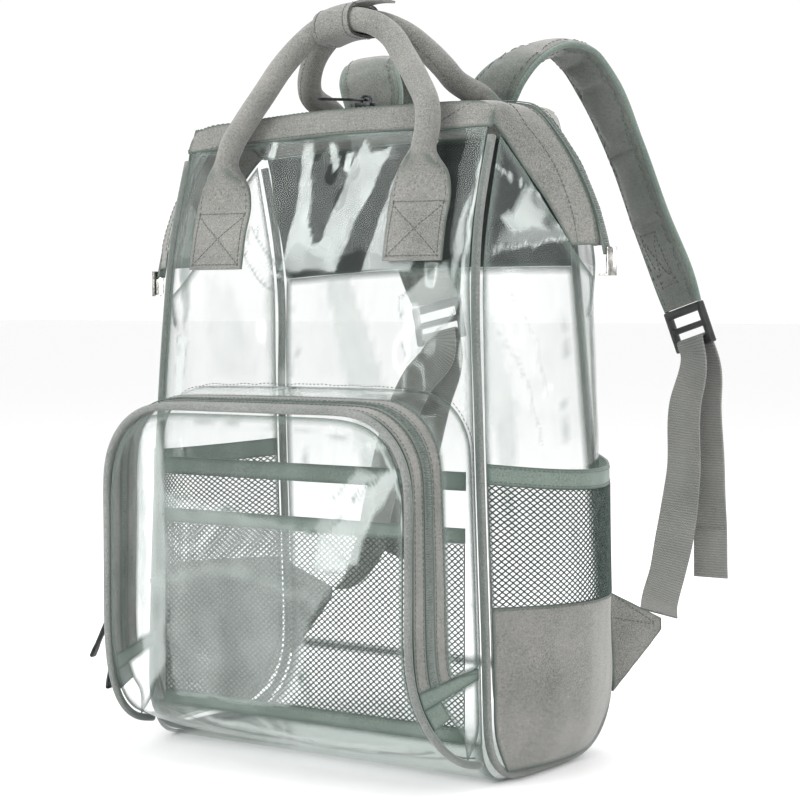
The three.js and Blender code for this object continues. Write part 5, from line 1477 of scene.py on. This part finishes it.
@dataclass
class Straps:
    """Padded shoulder straps with their locks, webbing and anchor tabs."""

    finishes: Finishes
    needle: Needle
    trim: Trim
    sides: int = 44
    fill: float = 0.75
    pressure: float = 3.0
    frames: int = 20
    swell: float = 2.2 * MM

    def _swell(self, obj: Object, held: Array) -> None:
        """Blows the padding up by a cloth simulation, with its seams held.

        Args:
            obj: the pad.
            held: corners that don't move.
        """
        before = coords(obj)
        pins = obj.vertex_groups.new(name="seams")
        pins.add([int(i) for i in np.flatnonzero(held)], 1.0, "REPLACE")
        cloth = obj.modifiers.new("swell", "CLOTH")
        settings = cloth.settings
        settings.use_pressure = True
        settings.uniform_pressure_force = self.pressure
        settings.vertex_group_mass = pins.name
        settings.shrink_min = -0.03
        settings.effector_weights.gravity = 0
        settings.quality = 6
        cloth.collision_settings.use_collision = False
        cloth.collision_settings.use_self_collision = False
        scene = bpy.context.scene
        for step in range(1, self.frames + 1):
            scene.frame_set(step)
        evaluated = obj.evaluated_get(bpy.context.evaluated_depsgraph_get())
        after = np.empty(3 * len(evaluated.data.vertices))
        evaluated.data.vertices.foreach_get("co", after)
        after = after.reshape(-1, 3)
        scene.frame_set(1)
        obj.modifiers.remove(cloth)
        obj.vertex_groups.remove(pins)
        moved = after - before
        far = np.linalg.norm(moved, axis=1)
        log.info("%s: swells by up to %.1f mm", obj.name, far.max() / MM)
        move_to(obj, before + moved * np.minimum(1, self.swell / np.maximum(far, 1e-9))[:, None])

    def pad(self, side: Side) -> None:
        """Builds a padded strap with bound edges and sewn rows.

        Args:
            side: which side.
        """
        node = f"strap_pad_{side.word}"
        band = Band.of(rings(node, 10, lambda p: p[2])).finer(2.6 * MM)
        turn = np.linspace(0, 2 * math.pi, self.sides, endpoint=False) + math.pi / self.sides
        rounds, held, shades = [], [], []
        last = len(band.centre) - 1
        for i, (c, a, n, w, t) in enumerate(band.stations()):
            cos, sin = np.cos(turn), np.sin(turn)
            x = np.sign(cos) * np.abs(cos) ** 0.62
            edge = min(2.6 * MM, t)
            crown = edge + (t * 0.98 - edge) * (1 - np.abs(x) ** 3.2)
            y = np.sign(sin) * np.minimum(np.abs(sin) * 3.0, 1.0) ** 0.8 * crown / 2
            rounds.append(c + np.outer(x * (w / 2 - 1.2 * MM), a) + np.outer(y, n))
            held.append((np.abs(x) > 0.93) | (i < 9) | (i > last - 12) | (t < 5 * MM))
            # Painted shade in the seam grooves, on the face turned towards the bag and along the bound
            # edges.
            groove_shade = np.exp(-(((np.abs(x) - 0.8) / 0.05) ** 2)) * 0.35
            inner = np.outer(np.sign(sin), n) @ np.array([0, -0.95, -0.3]) > 0.2
            shades.append(np.maximum(groove_shade + inner * 0.42, bump_step(np.abs(x), 0.88, 1.0) * 0.7))
        obj = skin(f"{node}_cloth", rounds)
        paint(obj, Mark.EDGE, np.concatenate([*shades, [0.6, 0.6]]))
        self._swell(obj, np.concatenate([*held, [True, True]]))
        dress(smooth(obj, 70), self.finishes.fabric, [node])
        for word, share in (("inner", -1.0), ("outer", 1.0)):
            line = band.centre + band.across * (share * (band.width / 2 - 1.4 * MM))[:, None]
            cord = piping(f"{node}_binding_{word}", line[::3], 1.9 * MM, 10)
            dress(cord, self.finishes.binding, [])
        rows = []
        for face in (1, -1):
            for share in (-0.78, 0.78):
                line = band.line(share, 0.6 * MM * face)[2::4]
                ways = (band.normal * face)[2::4]
                for k in range(0, len(line) - 1, 4):
                    rows.append((line[k:k + 5], Vector(ways[min(k + 2, len(ways) - 1)])))
            middle, across = band.line(0.0, 0.6 * MM * face), band.across * 9 * MM
            low, high, centre = 6, 20, 13
            for i in (low, high):
                row = np.array([middle[i] - across[i], middle[i] + across[i]])
                rows.append((row, Vector(band.normal[i] * face)))
            away = Vector(band.normal[centre] * face)
            for sign in (-1, 1):
                rows.append((middle[low:high + 1:7] + across[low:high + 1:7] * sign, away))
            for sign in (-1, 1):
                row = np.array([middle[low] + across[low] * sign, middle[high] - across[high] * sign])
                rows.append((row, away))
        rows = [(line, way) for line, way in rows if len(line) > 1]
        self.needle.sew(f"{node}_stitching", rows, [obj], self.finishes.thread, 3.4 * MM, 0.85)

    def webbing(self, side: Side) -> None:
        """Builds the webbing with ribs, a folded hem and its seams.

        Args:
            side: which side.
        """
        node = f"webbing_{side.word}"
        tail = np.array([0.1606, 0.1521, 0.1032] if side is Side.RIGHT else [-0.0807, 0.1283, 0.1047])
        sections = rings(node, 4, lambda p: float(np.linalg.norm(p - tail)))[::-1]
        band = Band.of(sections).finer(1.6 * MM)
        columns = np.array([-1, -0.97, -0.8, -0.5, -0.2, 0.2, 0.5, 0.8, 0.97, 1.0])
        rounds = []
        for i, (c, a, n, w, _) in enumerate(band.stations()):
            cup = 0.25 * MM * np.sin(0.21 * i) * (columns ** 2)
            half = np.where(np.abs(columns) > 0.99, 0.35, 1.0) * 0.75 * MM
            face = c + np.outer(columns * (w / 2), a) + np.outer(cup + half, n)
            back = c + np.outer(columns[::-1] * (w / 2), a) + np.outer((cup - half)[::-1], n)
            rounds.append(np.concatenate([face, back]))
        obj = smooth(skin(f"{node}_ribbed", rounds), 45)
        dress(obj, self.finishes.webbing, [node])
        rows = []
        last = len(band.centre) - 1
        for face in (1, -1):
            for i in (last - 3, last - 17):
                spot, across = band.centre[i], band.across[i] * 11 * MM
                rows.append((np.array([spot - across, spot + across]), Vector(band.normal[i] * face)))
        self.needle.sew(f"{node}_stitching", rows, [obj], self.finishes.thread, 2.8 * MM, 0.85)
        sections = []
        for i in range(last - 20, last + 1):
            c, a, n = band.centre[i], band.across[i], band.normal[i]
            ring = [(-12.7, 0.7), (12.7, 0.7), (12.7, 1.5), (-12.7, 1.5)]
            sections.append(np.array([c + a * u * MM + n * w * MM for u, w in ring]))
        fold = smooth(bevelled(skin(f"{node}_hem", sections), 0.3 * MM, 2), 45)
        dress(fold, self.finishes.webbing, [])

    def fittings(self, side: Side) -> None:
        """Builds the ladder lock and the anchor tab.

        Args:
            side: which side.
        """
        node = f"ladder_lock_{side.word}"
        lock = bevelled(copy_of(node, f"{node}_buckle"), 1.1 * MM, 3)
        dress(smooth(lock, 35), self.finishes.plastic, [node])
        node = f"anchor_tab_{side.word}"
        tab = self.trim.soft(node, 3, self.finishes.fabric, "grey_fabric", 0.2 * MM, (1, 0, 0), 18 * MM)
        corners = sorted((Vector(v.co) for v in tab.data.vertices), key=lambda v: v.y)
        base_top = max(corners[:60], key=lambda v: v.z)
        base_low = min(corners[:60], key=lambda v: v.z)
        tip = corners[-1]
        rows = []
        for a, b in ((base_top, tip), (base_low, tip)):
            inset = (base_top + base_low + tip) / 3
            line = np.array([a.lerp(b, t).lerp(inset, 0.14) for t in (0.1, 0.5, 0.9)])
            rows += [(line, Vector((side.value, -0.2, 0))), (line, Vector((-side.value, 0.2, 0)))]
        self.needle.sew(f"{node}_stitching", rows, [tab], self.finishes.thread, 3.0 * MM, 0.85)

    def build(self) -> None:
        """Builds both straps."""
        for side in Side:
            self.pad(side)
            self.fittings(side)
            self.webbing(side)


@dataclass
class Footprint:
    """The seam that holds the front pocket on the clear front."""

    finishes: Finishes
    needle: Needle
    shell: ClearShell
    front_y: float = -0.0762
    centre_z: float = 0.14

    def build(self) -> None:
        """Sews the row just outside the pocket's foot."""
        edge = coords(self.shell.sheets["pocket_gusset"])
        edge = edge[edge[:, 1] > self.front_y]
        centre = np.array([0, 0, self.centre_z])
        angle = np.arctan2(edge[:, 2] - centre[2], edge[:, 0])
        line = []
        for at in np.linspace(math.radians(-22), math.radians(202), 60):
            near = edge[np.argsort(np.abs((angle - at + math.pi) % (2 * math.pi) - math.pi))[:6]].mean(0)
            way = near - centre
            way[1] = 0
            line.append(near + way / np.linalg.norm(way) * 2.0 * MM)
        rows = [(np.array(line), Vector((0, -1, 0)))]
        self.needle.sew("pocket_footprint_stitching", rows, [self.shell.sheets["front_panel"]],
                        self.finishes.thread, 3.0 * MM, 0.8)


@dataclass
class Studio:
    """Pale floor, soft lights and the photograph's camera."""

    eye: tuple = (0.8102, -1.1208, 0.2820)
    azimuth: float = 35.3
    elevation: float = 2.5
    lens: float = 96.93

    def _light(self, name: str, place: Sequence[float], size: tuple[float, float], power: float) -> None:
        """Adds a soft box aimed at the bag.

        Args:
            name: its name.
            place: where it stands.
            size: width and height.
            power: watts.
        """
        data = bpy.data.lights.new(name, "AREA")
        data.shape = "RECTANGLE"
        data.size, data.size_y = size
        data.energy = power
        light = bpy.data.objects.new(name, data)
        bpy.context.scene.collection.objects.link(light)
        light.location = place
        light.rotation_euler = (Vector(place) - Vector((0, 0, 0.22))).to_track_quat("Z", "Y").to_euler()

    def build(self) -> None:
        """Builds the studio."""
        scene = bpy.context.scene
        turn, rise = math.radians(self.azimuth), math.radians(self.elevation)
        level = math.cos(rise)
        back = Vector((math.sin(turn) * level, -math.cos(turn) * level, math.sin(rise)))
        data = bpy.data.cameras.new("camera")
        data.lens, data.sensor_width = self.lens, 36
        data.clip_start = 0.05
        camera = bpy.data.objects.new("camera", data)
        scene.collection.objects.link(camera)
        camera.location = self.eye
        camera.rotation_euler = back.to_track_quat("Z", "Y").to_euler()
        scene.camera = camera
        scene.view_settings.view_transform = "Standard"
        scene.cycles.transparent_max_bounces = 40
        scene.cycles.max_bounces = 14

        world = bpy.data.worlds.new("studio")
        world.use_nodes = True
        world.node_tree.nodes["Background"].inputs[0].default_value = (1.0, 1.0, 1.0, 1)
        world.node_tree.nodes["Background"].inputs[1].default_value = 1.04
        scene.world = world
        self._light("key", (-1.0, -1.7, 1.5), (1.3, 1.3), 26)
        self._light("fill", (1.9, -0.9, 0.9), (1.2, 1.4), 12)
        self._light("top", (0.1, 0.2, 1.9), (1.4, 1.0), 14)
        self._light("strip", (-0.55, -1.5, 0.5), (0.10, 1.3), 5)
        self._light("rim", (0.7, 1.5, 0.9), (0.5, 1.4), 10)

        s = Shader("pale_floor")
        fine = s.grain(30, 4)
        shade = s.between(fine, (0.9, 0.9, 0.9, 1), (0.93, 0.93, 0.93, 1))
        inputs = {"Base Color": shade, "Roughness": fine * 0.1 + 0.7}
        ground = s.finish(s.node("BsdfPrincipled", {}, inputs))
        bpy.ops.object.select_all(action="DESELECT")
        bpy.ops.mesh.primitive_plane_add(size=60)
        floor = bpy.context.active_object
        floor.name = "floor"
        floor.data.materials.append(ground)


def main() -> None:
    """Builds the dressed bag."""
    logging.basicConfig(level=logging.INFO, format="%(name)s %(message)s")
    finishes = Finishes()
    needle = Needle()
    shell = ClearShell(finishes)
    trim = Trim(finishes, needle)
    trim.build()
    shell.build()
    Zips(finishes, needle, trim).build()
    Pockets(finishes, needle, trim, Nets(finishes)).build()
    Handles(finishes, needle).build()
    Straps(finishes, needle, trim).build()
    Footprint(finishes, needle, shell).build()
    Studio().build()
    bpy.ops.object.select_all(action="DESELECT")


if __name__ == "__main__":
    main()
